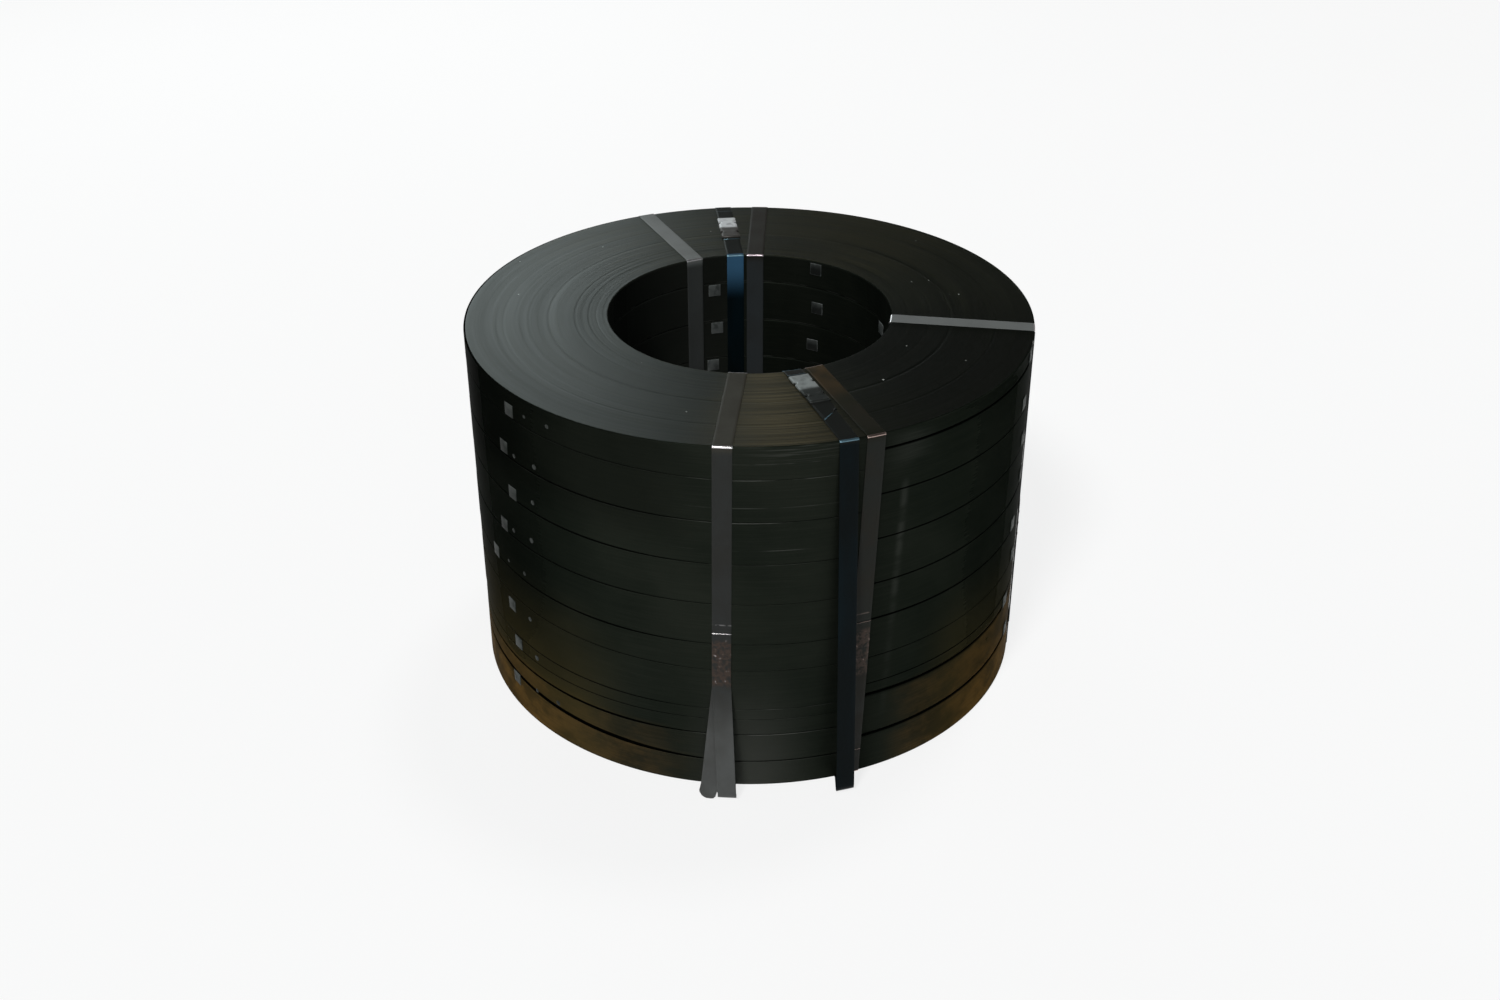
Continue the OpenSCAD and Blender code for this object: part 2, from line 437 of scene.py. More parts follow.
class WallWires:
    """What the finish of the walls reads: the place on the coil, and noises drawn out along the turns."""

    def __init__(self, s: Shader) -> None:
        """Adds the nodes.

        Args:
            s: The shader that they belong to.
        """
        self.x, self.y, self.z = s.place()
        self.r, self.across, self.along = s.polar(self.x, self.y)
        z = self.z
        first = self.across * 5.3 + self.along * 1.1 + 0.4
        second = self.along * 5.1 - self.across * 0.9 + 7.7
        self.drawn = s.noise(s.vector(z * 700.0, first, second), detail=2.0, rough=0.6)
        self.cloud = s.noise(s.vector(first * 0.45 + z * 1.7, second * 0.45, z * 7.0 + 1.9), detail=3.0)
        self.bands = s.noise(s.vector(z * 23.0 + 0.3, first * 0.3, second * 0.3), detail=1.0)
        broken = s.noise(s.vector(first * 1.8, second * 1.8, z * 60.0), detail=2.0)
        self.broken = broken.smooth(0.38, 0.62)
        blotch = s.noise(s.vector(self.x, self.y, z * 1.6), scale=24.0, detail=4.0, rough=0.62)
        self.blotch = blotch.smooth(0.36, 0.62)
        self.front = self.along.smooth(-0.85, -0.95)
        self.middle = self.across.hump(0.06, 0.34) * self.front
        self.right = self.across.smooth(-0.2, 0.2)
        self.inner = self.r.smooth(0.20, 0.16)


@dataclass(frozen=True)
class StripFace:
    """Flat faces of the strip on the walls: blackened steel with painted shade in the seams between the laps.

    Heights are in metres. A pair of heights gives where a painted tone has ended and where it is full.
    """

    dark: Colour = (0.0086, 0.0112, 0.0084)
    pale: Colour = (0.0186, 0.0214, 0.0164)
    # Pale colour of the painted highlights, the scuffs and the pale marks.
    edge: Colour = (0.075, 0.078, 0.070)
    # Colours of the painted warm reflection low on the walls.
    olive: Colour = (0.045, 0.036, 0.0145)
    brown: Colour = (0.135, 0.080, 0.0280)
    # Pale grey: painted light on the bore's left, and the paler foot at the front.
    dust: Colour = (0.050, 0.052, 0.046)
    # Colour of the painted shade: in the seams, on the left, beside the pair of ties and on the bore's right.
    painted_shade: Colour = (0.0010, 0.0012, 0.0010)
    # Heights of the painted highlight lines across the front.
    highlight_lines: tuple[float, ...] = (0.377, 0.330, 0.283)
    line_half: float = 0.0008
    reflection_heights: Span = (0.21, 0.05)
    lowest_lap: Span = (0.050, 0.030)
    right_lap: Span = (0.102, 0.085)
    left_lap: Span = (0.072, 0.058)
    heel: Span = (0.17, 0.0)
    streak_place: float = 0.441
    streak_lean: float = 0.159
    streak_half: float = 0.019
    metal: float = 0.45
    tint: Colour = (0.33, 0.33, 0.33)
    bump: float = 0.05
    relief: float = 0.10

    def steel(self, s: Shader, w: WallWires) -> Wire:
        """Blackened steel in clouds, with painted shade on the left and under the left rim, and a painted
        shadow behind the pair of ties.

        Args:
            s: The shader.
            w: Its wires.

        Returns:
            The colour.
        """
        tone = 0.3 * w.drawn.smooth(0.35, 0.75) + 0.7 * w.cloud.smooth(0.25, 0.75)
        colour = s.mix(tone, self.dark, self.pale)
        # Painted shade on the left side and under the left rim.
        left = w.across.smooth(-0.45, -0.90)
        colour = s.mix(left * 0.50, colour, self.painted_shade)
        left_rim = w.across.smooth(-0.10, -0.35) * w.z.smooth(0.27, 0.32)
        colour = s.mix(left_rim * 0.40, colour, self.painted_shade)
        # Painted shadow around the pair of ties.
        pair = w.across.hump(0.35, 0.17) * w.along.smooth(-0.80, -0.85)
        return s.mix(pair * 0.35, colour, self.painted_shade)

    def painted_low_reflection(self, s: Shader, w: WallWires, colour: Wire) -> Wire:
        """Paints a thin olive reflection low on both sides and brown blotches of reflection on the lowest
        laps, and makes the front paler near the foot.

        Args:
            s: The shader.
            w: Its wires.
            colour: The colour so far.

        Returns:
            The colour with the films.
        """
        turn = w.along - 0.10 * w.right
        patchy = 0.45 + 0.55 * (0.5 * w.cloud + 0.5 * w.bands).smooth(0.25, 0.75)
        thin = 0.8 * w.z.smooth(*self.reflection_heights) * turn.smooth(-0.94, -0.79)
        thin = thin * (0.2 + 0.8 * w.along.smooth(0.35, -0.20))
        # Painted reflection: a thin olive tint low on both sides.
        colour = s.mix(thin * patchy, colour, self.olive)
        shown = w.along.smooth(0.25, -0.30)
        reach = turn.smooth(-1.0, -0.90) * (0.38 + 0.62 * turn.smooth(-0.86, -0.55)) * shown
        low = w.z.smooth(*self.lowest_lap)
        low = low.math("MAXIMUM", 0.62 * w.right * w.z.smooth(*self.right_lap))
        low = low.math("MAXIMUM", 0.50 * (1.0 - w.right) * w.z.smooth(*self.left_lap))
        # Blotches that break up the painted reflection.
        stain = (0.30 + 0.70 * w.blotch) * (0.70 + 0.30 * w.drawn.smooth(0.35, 0.65))
        # Painted reflection: brown blotches on the lowest laps.
        colour = s.mix(reach * low * stain, colour, self.brown)
        # Paler towards the foot at the front.
        heel = w.z.smooth(*self.heel) * w.across.hump(0.0, 0.25) * w.front
        return s.mix(heel * 0.7, colour, self.dust)

    def bored(self, s: Shader, w: WallWires, colour: Wire) -> Wire:
        """Makes the bore paler on its left and darker on its right: painted light and painted shade.

        Args:
            s: The shader.
            w: Its wires.
            colour: The colour so far.

        Returns:
            The colour with the bore's two sides.
        """
        # Painted light on the left of the bore.
        colour = s.mix(w.inner * w.across.smooth(0.2, -0.5) * 0.3, colour, self.dust)
        # Painted shade on the right of the bore.
        return s.mix(w.inner * w.across.smooth(-0.1, 0.3) * 0.25, colour, self.painted_shade)

    def highlight_and_wear(self, s: Shader, w: WallWires) -> Wire:
        """How bright the steel is painted: painted highlights on lap edges and on three lines at the front,
        scuffs near the top, and pale marks beside the front right tie.

        Args:
            s: The shader.
            w: Its wires.

        Returns:
            A share from 0 to 1.
        """
        # Painted highlight along the lap edges, strongest at the front and in the bore.
        edges = s.mark("edge_highlight").smooth(0.0, 1.0) * (0.06 + 0.94 * w.middle + 0.5 * w.inner) * w.broken
        # Pale slanted marks beside the front right tie.
        pale_streak = (w.across - self.streak_lean * w.z).hump(self.streak_place, self.streak_half)
        pale_streak = pale_streak * w.along.smooth(-0.80, -0.85) * w.z.smooth(0.345, 0.325) * w.z.smooth(0.05, 0.09)
        pale_streak = pale_streak * (0.25 + 0.75 * w.z.smooth(0.12, 0.26)) * (0.25 + 0.75 * w.broken)
        smear = w.across.hump(0.51, 0.10) * w.along.smooth(-0.75, -0.80)
        smear = smear * w.z.smooth(0.340, 0.365) * w.z.smooth(0.394, 0.385)
        smear = smear * (0.3 * w.drawn + 0.7 * w.bands).smooth(0.38, 0.60)
        # Painted highlight lines at the front.
        lines = sum(w.z.hump(line, self.line_half) for line in self.highlight_lines)
        scuff = w.z.smooth(0.372, 0.394) * w.drawn.smooth(0.48, 0.66) * w.across.hump(0.22, 0.30)
        front = 0.6 * w.middle * (w.broken * lines + scuff)
        return (edges + 0.24 * pale_streak + 0.16 * smear + front).math("MINIMUM", 1.0)

    def material(self) -> bpy.types.Material:
        """Writes the steel, painted low reflections, painted highlights, scuffs and the painted shade in the
        seams.

        Returns:
            The material.
        """
        s = Shader("strip_face")
        w = WallWires(s)
        colour = self.bored(s, w, self.painted_low_reflection(s, w, self.steel(s, w)))
        # Painted highlights and scuffs in one pale colour.
        colour = s.mix(self.highlight_and_wear(s, w), colour, self.edge)
        # Painted shade in the seams, under the outer layer and on the strips' lower edges, less at the front
        # and in the bore.
        colour = s.mix(s.mark("shade") * (1.0 - 0.8 * w.middle - 0.6 * w.inner), colour, self.painted_shade)
        return s.surface(
            Base_Color=colour,
            Metallic=self.metal,
            Roughness=0.36 + 0.10 * w.drawn + 0.10 * w.cloud,
            Specular_IOR_Level=0.0,
            Specular_Tint=(*self.tint, 1.0),
            Normal=s.bump(w.drawn, self.bump, self.relief * MM),
        )


@dataclass(frozen=True)
class TieSteel:
    """Grey strapping, with tones on the top, the wall and the foot painted for the light that each catches,
    and rust at its weld.

    Heights are in metres, and the spans of squared radii in square metres.
    """

    name: str
    top: Colour
    wall: Colour
    foot: Colour
    stain: float = 0.3
    rusty: float = 0.0
    weld: Span = (0.128, 0.176)
    rust: Colour = (0.050, 0.035, 0.028)
    # Colour of the painted highlight at bends and cut ends, and of bright flecks at the weld.
    bright: Colour = (0.95, 0.90, 0.91)
    grime: Colour = (0.016, 0.012, 0.008)
    top_rust: Colour = (0.055, 0.032, 0.012)
    top_heights: Span = (0.385, 0.394)
    foot_heights: Span = (0.14, 0.06)
    rust_heights: Span = (0.390, 0.395)
    rust_squares: Span = (0.062, 0.030)
    wall_squares: Span = (0.08, 0.085)
    weld_fade: float = 0.006
    nick_rise: float = 0.022
    nick_half: float = 0.0012
    gloss: float = 0.10
    bump: float = 0.25
    relief: float = 0.15

    def material(self) -> bpy.types.Material:
        """Writes tones by height, painted for the light that each part catches, mottled rust at the weld, and
        a painted highlight at bends and cuts, which are also made metallic and smoother.

        Returns:
            The material.
        """
        s = Shader(self.name)
        x, y, z = s.place()
        point = s.vector(x, y, z)
        grain = s.noise(s.vector(x * 900.0, y * 900.0, z * 30.0), detail=2.0)
        cloud = s.noise(point, scale=28.0, detail=3.0)
        mottle = s.noise(point, scale=190.0, detail=3.0, rough=0.65)
        # Painted light: the top and the foot take their own tones for the light that falls on them.
        colour = s.mix(z.smooth(*self.top_heights), self.wall, self.top)
        colour = s.mix(z.smooth(*self.foot_heights), colour, self.foot)
        colour = s.mix(cloud.smooth(0.35, 0.75) * self.stain, colour, self.grime)
        square = x * x + y * y
        if self.rusty:
            rusted = z.smooth(*self.rust_heights) * square.smooth(*self.rust_squares)
            colour = s.mix(rusted * cloud.smooth(0.25, 0.60) * self.rusty, colour, self.top_rust)
        low, high = self.weld
        outside = square.smooth(*self.wall_squares)
        welded = z.smooth(low - self.weld_fade, low) * z.smooth(high + self.weld_fade, high) * outside
        colour = s.mix(welded * mottle.smooth(0.36, 0.58), colour, self.rust)
        colour = s.mix(welded * mottle.smooth(0.64, 0.72) * 0.35, colour, self.bright)
        nick = z.hump(high + self.nick_rise, self.nick_half) * outside * mottle.smooth(0.40, 0.60)
        colour = s.mix(nick * 0.14, colour, self.bright)
        # Painted highlight at bends and cut ends.
        bend = s.mark("bend")
        colour = s.mix(bend, colour, self.bright)
        return s.surface(
            Base_Color=colour,
            Roughness=0.36 + 0.22 * cloud - 0.14 * bend,
            Specular_IOR_Level=self.gloss,
            Metallic=bend,
            Normal=s.bump(0.5 * grain + 0.5 * mottle * welded, self.bump, self.relief * MM),
        )


@dataclass(frozen=True)
class BlueLacquer:
    """Dark blue lacquered strapping, greyed on the top, with a painted highlight where it is bent or cut."""

    blue: Colour = (0.0021, 0.0062, 0.0084)
    deep: Colour = (0.0019, 0.0038, 0.0043)
    grey: Colour = (0.0110, 0.0118, 0.0108)
    sheen: Colour = (0.0420, 0.1150, 0.2050)
    # Colour of the painted highlight at bends and cut ends.
    bright: Colour = (0.20, 0.34, 0.42)
    top_heights: Span = (0.390, 0.395)
    sheen_heights: Span = (0.340, 0.385)
    bore_squares: Span = (0.0238, 0.0225)
    gloss: float = 0.05
    bump: float = 0.15
    relief: float = 0.10

    def material(self) -> bpy.types.Material:
        """Writes two depths of lacquer in clouds drawn along the strap, and a painted blue sheen at the
        bore's head.

        Returns:
            The material.
        """
        s = Shader("blue_lacquer")
        x, y, z = s.place()
        cloud = s.noise(s.vector(x * 30.0, y * 30.0, z * 9.0), detail=3.0)
        grain = s.noise(s.vector(x * 700.0, y * 700.0, z * 40.0), detail=2.0)
        colour = s.mix(cloud.smooth(0.32, 0.68), self.deep, self.blue)
        colour = s.mix(z.smooth(*self.top_heights), colour, self.grey)
        # Painted sheen: a clear blue on the back tie inside the bore, near its head.
        inside = (x * x + y * y).smooth(*self.bore_squares) * y.smooth(0.0, 0.1)
        colour = s.mix(inside * z.smooth(*self.sheen_heights), colour, self.sheen)
        # Painted highlight at bends and cut ends.
        bend = s.mark("bend")
        colour = s.mix(bend, colour, self.bright)
        return s.surface(
            Base_Color=colour,
            Roughness=0.24 + 0.16 * cloud,
            Specular_IOR_Level=self.gloss,
            Metallic=0.9 * bend,
            Normal=s.bump(grain, self.bump, self.relief * MM),
        )


@dataclass(frozen=True)
class ZincSheet:
    """Bright zinc-coated sheet with dull patches, which takes painted shade along a mark."""

    name: str
    bright: Colour
    dull: Colour
    dark: Colour = (0.020, 0.022, 0.020)
    rough: float = 0.34
    gloss: float = 0.3
    metal: float = 0.35
    patch_scale: float = 120.0
    grain_scale: float = 900.0
    bump: float = 0.15
    relief: float = 0.15

    def material(self) -> bpy.types.Material:
        """Writes bright and dull patches with a fine grain, and the painted shade of the mark.

        Returns:
            The material.
        """
        s = Shader(self.name)
        x, y, z = s.place()
        point = s.vector(x, y, z)
        patch = s.noise(point, scale=self.patch_scale, detail=3.0)
        grain = s.noise(point, scale=self.grain_scale, detail=2.0)
        colour = s.mix(patch.smooth(0.42, 0.70), self.bright, self.dull)
        # Painted shade along the mark: one half of a seal, or a tab's face inside its bright rim.
        colour = s.mix(s.mark("bend"), colour, self.dark)
        return s.surface(
            Base_Color=colour,
            Roughness=self.rough + 0.22 * patch,
            Metallic=self.metal,
            Specular_IOR_Level=self.gloss,
            Normal=s.bump(0.4 * grain + 0.6 * patch, self.bump, self.relief * MM),
        )


@dataclass(frozen=True)
class Floor:
    """The pale floor that the coil stands on, and a low white backdrop round it, in metres."""

    reach: float = 60.0
    tone: Colour = (0.86, 0.86, 0.86)
    lift: float = 0.8
    rim: float = 3.2
    sides: int = 48

    def paint(self) -> bpy.types.Material:
        """Paint that shows mostly as white light to the camera and in gloss, so that its shadow stays soft.

        Returns:
            The material.
        """
        s = Shader("pale_floor")
        seen = s.node("ShaderNodeLightPath", {}, {}, "Is Camera Ray")
        for ray in ("Is Glossy Ray", "Is Transmission Ray"):
            seen = seen.math("MAXIMUM", s.node("ShaderNodeLightPath", {}, {}, ray))
        paint = s.node("ShaderNodeBsdfDiffuse", {}, {"Color": (*self.tone, 1.0)})
        white = s.node("ShaderNodeEmission", {}, {"Strength": 1.0})
        return s.end(s.node("ShaderNodeMixShader", {}, {0: seen * self.lift, 1: paint, 2: white}))

    def lay(self) -> None:
        """Lays one square of floor at the lowest height of the solids."""
        half, lowest = self.reach / 2.0, CAD_BOX[0][2]
        corners = [(-half, -half, lowest), (half, -half, lowest), (half, half, lowest), (-half, half, lowest)]
        mesh = bpy.data.meshes.new("floor")
        mesh.from_pydata(corners, [], [(0, 1, 2, 3)])
        mesh.materials.append(self.paint())
        floor = placed("floor", mesh)

    def surround(self) -> None:
        """Stands a white ring at the floor's edge, which shows in view and in gloss but lights nothing."""
        half, lowest = self.reach / 2.0, CAD_BOX[0][2]
        turn = np.linspace(0.0, 2.0 * math.pi, self.sides, endpoint=False)
        ring = np.stack([half * np.cos(turn), half * np.sin(turn), np.full_like(turn, lowest)], axis=-1)
        points = np.concatenate([ring, ring + [0.0, 0.0, self.rim]])
        mesh = bpy.data.meshes.new("backdrop")
        mesh.from_pydata(points.tolist(), [], grid_quads(2, self.sides, False, True).tolist())
        s = Shader("white_backdrop")
        mesh.materials.append(s.end(s.node("ShaderNodeEmission", {}, {"Strength": 1.0})))
        backdrop = placed("backdrop", mesh)
        backdrop.visible_diffuse = backdrop.visible_shadow = False


@dataclass(frozen=True)
class WallPlan:
    """How a wall of the winding is drawn.

    The side is 1 where the steel is inside the wall, and -1 where it is outside, as in the bore. Points lie
    near the lap lines, at distances from them, and in the middle, at shares of the lap. A lap moves in and
    out round the coil by its wander.
    """

    side: float
    near: tuple[float, ...]
    middle: tuple[float, ...]
    wander: float


@dataclass
class WallGrid:
    """Points of a wall, one row a point of its profile: radii, heights, painted edge highlights and shade."""

    radii: Array
    heights: Array
    edge_highlight: Array
    shade: Array

    def downward(self) -> "WallGrid":
        """Gives the rows in the other order."""
        return WallGrid(self.radii[::-1], self.heights[::-1], self.edge_highlight[::-1], self.shade[::-1])


@dataclass
class StripCoil:
    """The winding: one turned body whose laps show on the walls and whose turns show on the end faces.

    Depths of lap lines count from the top down, and a gap is half the width of a line. The painted shade of a
    line fades between two multiples of its gap.
    """

    outer: float = 300.0
    bore: float = 150.0
    height: float = 395.0
    layer: float = 1.0
    edge: float = 1.0
    columns: int = 240
    top_rings: int = 124
    under_rings: int = 40
    lines: tuple[float, ...] = (18.8, 67.2, 113.6, 164.5, 209.0, 255.0, 285.5, 299.0, 350.5)
    gaps: tuple[float, ...] = (1.3, 0.8, 0.8, 0.9, 1.0, 0.5, 0.5, 1.9, 1.8)
    drift: float = 1.6
    relief: float = 0.55
    bore_first: float = 33.0
    bore_laps: int = 8
    bore_gap: float = 0.8
    lap_pitch: float = 47.4
    outside: WallPlan = WallPlan(1.0, (0.3, 0.7, 1.2, 2.0, 4.0), (0.35, 0.65), 0.15)
    inside: WallPlan = WallPlan(-1.0, (0.4, 0.9, 2.0), (0.5,), 0.0)
    line_depth: float = 1.2
    highlight_spread: float = 0.6
    dark_above: Span = (0.5, 1.1)
    dark_below: Span = (0.6, 1.4)
    set_back: Span = (0.1, 0.5)
    lap_lean: float = 0.25
    flush: float = 8.0
    low_ring: float = 0.06
    deep_ring: Span = (0.05, 0.2)
    deep_share: float = 0.04
    deep_more: float = 0.10
    deep_within: float = 0.45
    even: float = 0.35
    ease_rings: float = 4.0
    seed: int = 11

    def angles(self) -> Array:
        """Directions of the columns in degrees."""
        return np.arange(self.columns) * 360.0 / self.columns

    def lap_depths(self) -> Array:
        """Works out the lap lines, which drift up and down round the coil as sines of one or two waves.

        Returns:
            Depths below the top, one row a line.
        """
        place = np.arange(len(self.lines))[:, None]
        sway = np.sin(np.radians(self.angles())[None, :] * (1.0 + place % 2) + 1.3 * place)
        return np.array(self.lines)[:, None] + self.drift * sway

    def groove(self, far: Array, gap: float) -> Array:
        """Depth of a lap line at distances from its middle, which falls smoothly to 0 at the gap."""
        return self.line_depth * gap * (1.0 - smooth_step(far, 0.0, gap)) if gap > 0.0 else 0.0 * far

    def dark(self, far: Array, gap: float, fade: Span) -> Array:
        """Painted shade of a lap line at distances from its middle, which falls smoothly from 1 to 0."""
        start, end = fade
        return (gap > 0.0) * (1.0 - smooth_step(far, start * gap, end * gap + 0.01))

    def wall(self, radius: float, plan: WallPlan, depths: Array, gaps: Sequence[float]) -> WallGrid:
        """Works out one wall, from its lowest lap to its highest.

        A lap is flat, stands back by its own small amount, and its edges round off into the lines beside it.

        Args:
            radius: Radius of the wall.
            plan: How it is drawn.
            depths: Depths of the lap lines, one row a line, from the top down.
            gaps: Half the width of each line.

        Returns:
            The wall.
        """
        rng = np.random.default_rng(self.seed)
        count, columns = depths.shape
        foot, head = np.full((1, columns), self.edge), np.full((1, columns), self.height - self.edge)
        lines = np.concatenate([foot, (self.height - depths)[::-1], head])
        gap = np.concatenate([[0.0], gaps[::-1], [0.0]])
        near, middle = np.array(plan.near)[:, None], np.array(plan.middle)[:, None]
        radians = np.radians(self.angles())
        laps = []
        for k in range(count + 1):
            low, high = lines[k], lines[k + 1]
            phase, beat = rng.uniform(0.0, 2.0 * math.pi), rng.integers(1, 4)
            back = rng.uniform(*self.set_back) + plan.wander * (1.0 + np.sin(beat * radians + phase))
            lean = rng.uniform(-self.lap_lean, self.lap_lean)
            z = np.concatenate([low[None], low + near, low + middle * (high - low), high - near[::-1]])
            below, above = z - low, high - z
            cut = self.groove(below, gap[k]) + self.groove(above, gap[k + 1])
            # Painted highlight along the edge of each lap just above the line beneath it.
            edge_highlight = (gap[k] > 0.0) * np.exp(-((below - gap[k]) / self.highlight_spread) ** 2)
            # Painted shade in the lines.
            shade = self.dark(below, gap[k], self.dark_above) + self.dark(above, gap[k + 1], self.dark_below)
            share = below / (high - low) - 0.5
            fade = smooth_step(np.minimum(z, self.height - z), self.edge, self.flush)
            r = radius - plan.side * (cut + fade * (back + lean * share))
            laps.append((r, z, np.clip(edge_highlight, 0.0, 1.0), np.clip(shade, 0.0, 1.0)))
        none = np.zeros((1, columns))
        laps.append((np.full((1, columns), radius), lines[-1:], none, none))
        return WallGrid(*(np.concatenate(rows) for rows in zip(*laps)))

    def end_face(self, rings: int) -> tuple[Array, Array]:
        """Works out an end face as rings of turns, each a little lower than the face and uneven round it.

        A ring's depth is a random height, and for some a deeper one, times a sine of one wave round the coil.
        It eases to 0 at both walls.

        Args:
            rings: Number of rings.

        Returns:
            Radii from the bore outward and depths below the face, one row a ring.
        """
        rng = np.random.default_rng(self.seed + rings)
        share = np.linspace(0.0, 1.0, rings)[:, None]
        inner, outer = self.bore + self.edge, self.outer - self.edge
        radii = inner + share * (outer - inner) + np.zeros(self.columns)
        low = rng.uniform(0.0, self.low_ring, (rings, 1))
        chance = self.deep_share + self.deep_more * (share < self.deep_within)
        deep = (rng.uniform(0.0, 1.0, (rings, 1)) < chance) * rng.uniform(*self.deep_ring, (rings, 1))
        phase = rng.uniform(0.0, 2.0 * math.pi, (rings, 1))
        sway = 0.5 + 0.5 * np.sin(np.radians(self.angles())[None, :] + phase)
        depth = (low + deep) * (self.even + (1.0 - self.even) * sway)
        for far in (share, 1.0 - share):
            depth = depth * np.sin(np.pi * np.clip(far * rings / self.ease_rings, 0.0, 0.5))
        return radii, depth

    def bevel(self, inner: float, outer: float, low: float, high: float, rising: bool) -> tuple[Array, Array]:
        """Gives three points of a quarter round between an end face and a wall.

        Args:
            inner: Radius at which it leaves the end face.
            outer: Radius of the wall.
            low: Height of the end face.
            high: Height at which it meets the wall.
            rising: Whether the points run from the end face to the wall, or back.

        Returns:
            Radii and heights, one row a point.
        """
        turn = np.radians([22.5, 45.0, 67.5])[:, None] + np.zeros(self.columns)
        if not rising:
            turn = turn[::-1]
        return inner + (outer - inner) * np.sin(turn), low + (high - low) * (1.0 - np.cos(turn))

    def build(self) -> None:
        """Joins under face, outer wall, top face and bore wall into one closed body of revolution."""
        angle = self.angles()
        wall = self.wall(self.outer, self.outside, self.lap_depths(), self.gaps)
        # Painted shade over the wall under the outer layer, which shows only through its gaps.
        covered = (angle > LayerStrips.start) & (angle < LayerStrips.end - LayerStrips.lean)
        wall.shade[:, covered] = 1.0
        bore_depths = self.bore_first + self.lap_pitch * np.arange(self.bore_laps)[:, None] + 0.0 * angle
        bore = self.wall(self.bore, self.inside, bore_depths, [self.bore_gap] * self.bore_laps).downward()
        top_r, top_d = self.end_face(self.top_rings)
        under_r, under_d = self.end_face(self.under_rings)
        head, edge = self.height, self.edge
        profile = [
            (under_r, under_d + self.relief),
            self.bevel(self.outer - edge, self.outer, self.relief, edge, True),
            (wall.radii, wall.heights),
            self.bevel(self.outer - edge, self.outer, head, head - edge, False),
            (top_r[::-1], head - top_d[::-1]),
            self.bevel(self.bore + edge, self.bore, head, head - edge, True),
            (bore.radii, bore.heights),
            self.bevel(self.bore + edge, self.bore, self.relief, edge, False),
        ]
        r, z = (np.concatenate(rows) for rows in zip(*profile))
        starts = np.cumsum([0] + [len(rows) for rows, _ in profile])
        edge_highlight, shade = np.zeros_like(r), np.zeros_like(r)
        for part, grid in ((2, wall), (6, bore)):
            edge_highlight[starts[part]: starts[part + 1]] = grid.edge_highlight
            shade[starts[part]: starts[part + 1]] = grid.shade
        marks = {"edge_highlight": edge_highlight.reshape(-1), "shade": shade.reshape(-1)}
        quads = grid_quads(*r.shape, True, True)
        shell = Shell(wound(r, angle[None, :], z), quads, marks=marks).outward()
        face = StripFace().material()
        piece = shell.piece("coil_winding", [face, WoundEdges().material()], Slot.STRIP)
        on_end = np.zeros(len(r), dtype=np.int32)
        for part in (0, 4):
            on_end[starts[part]: starts[part + 1] - 1] = 1
        piece.data.polygons.foreach_set("material_index", np.repeat(on_end, self.columns))
        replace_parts(piece, "strip_coil")
        LayerStrips(self).build(face)


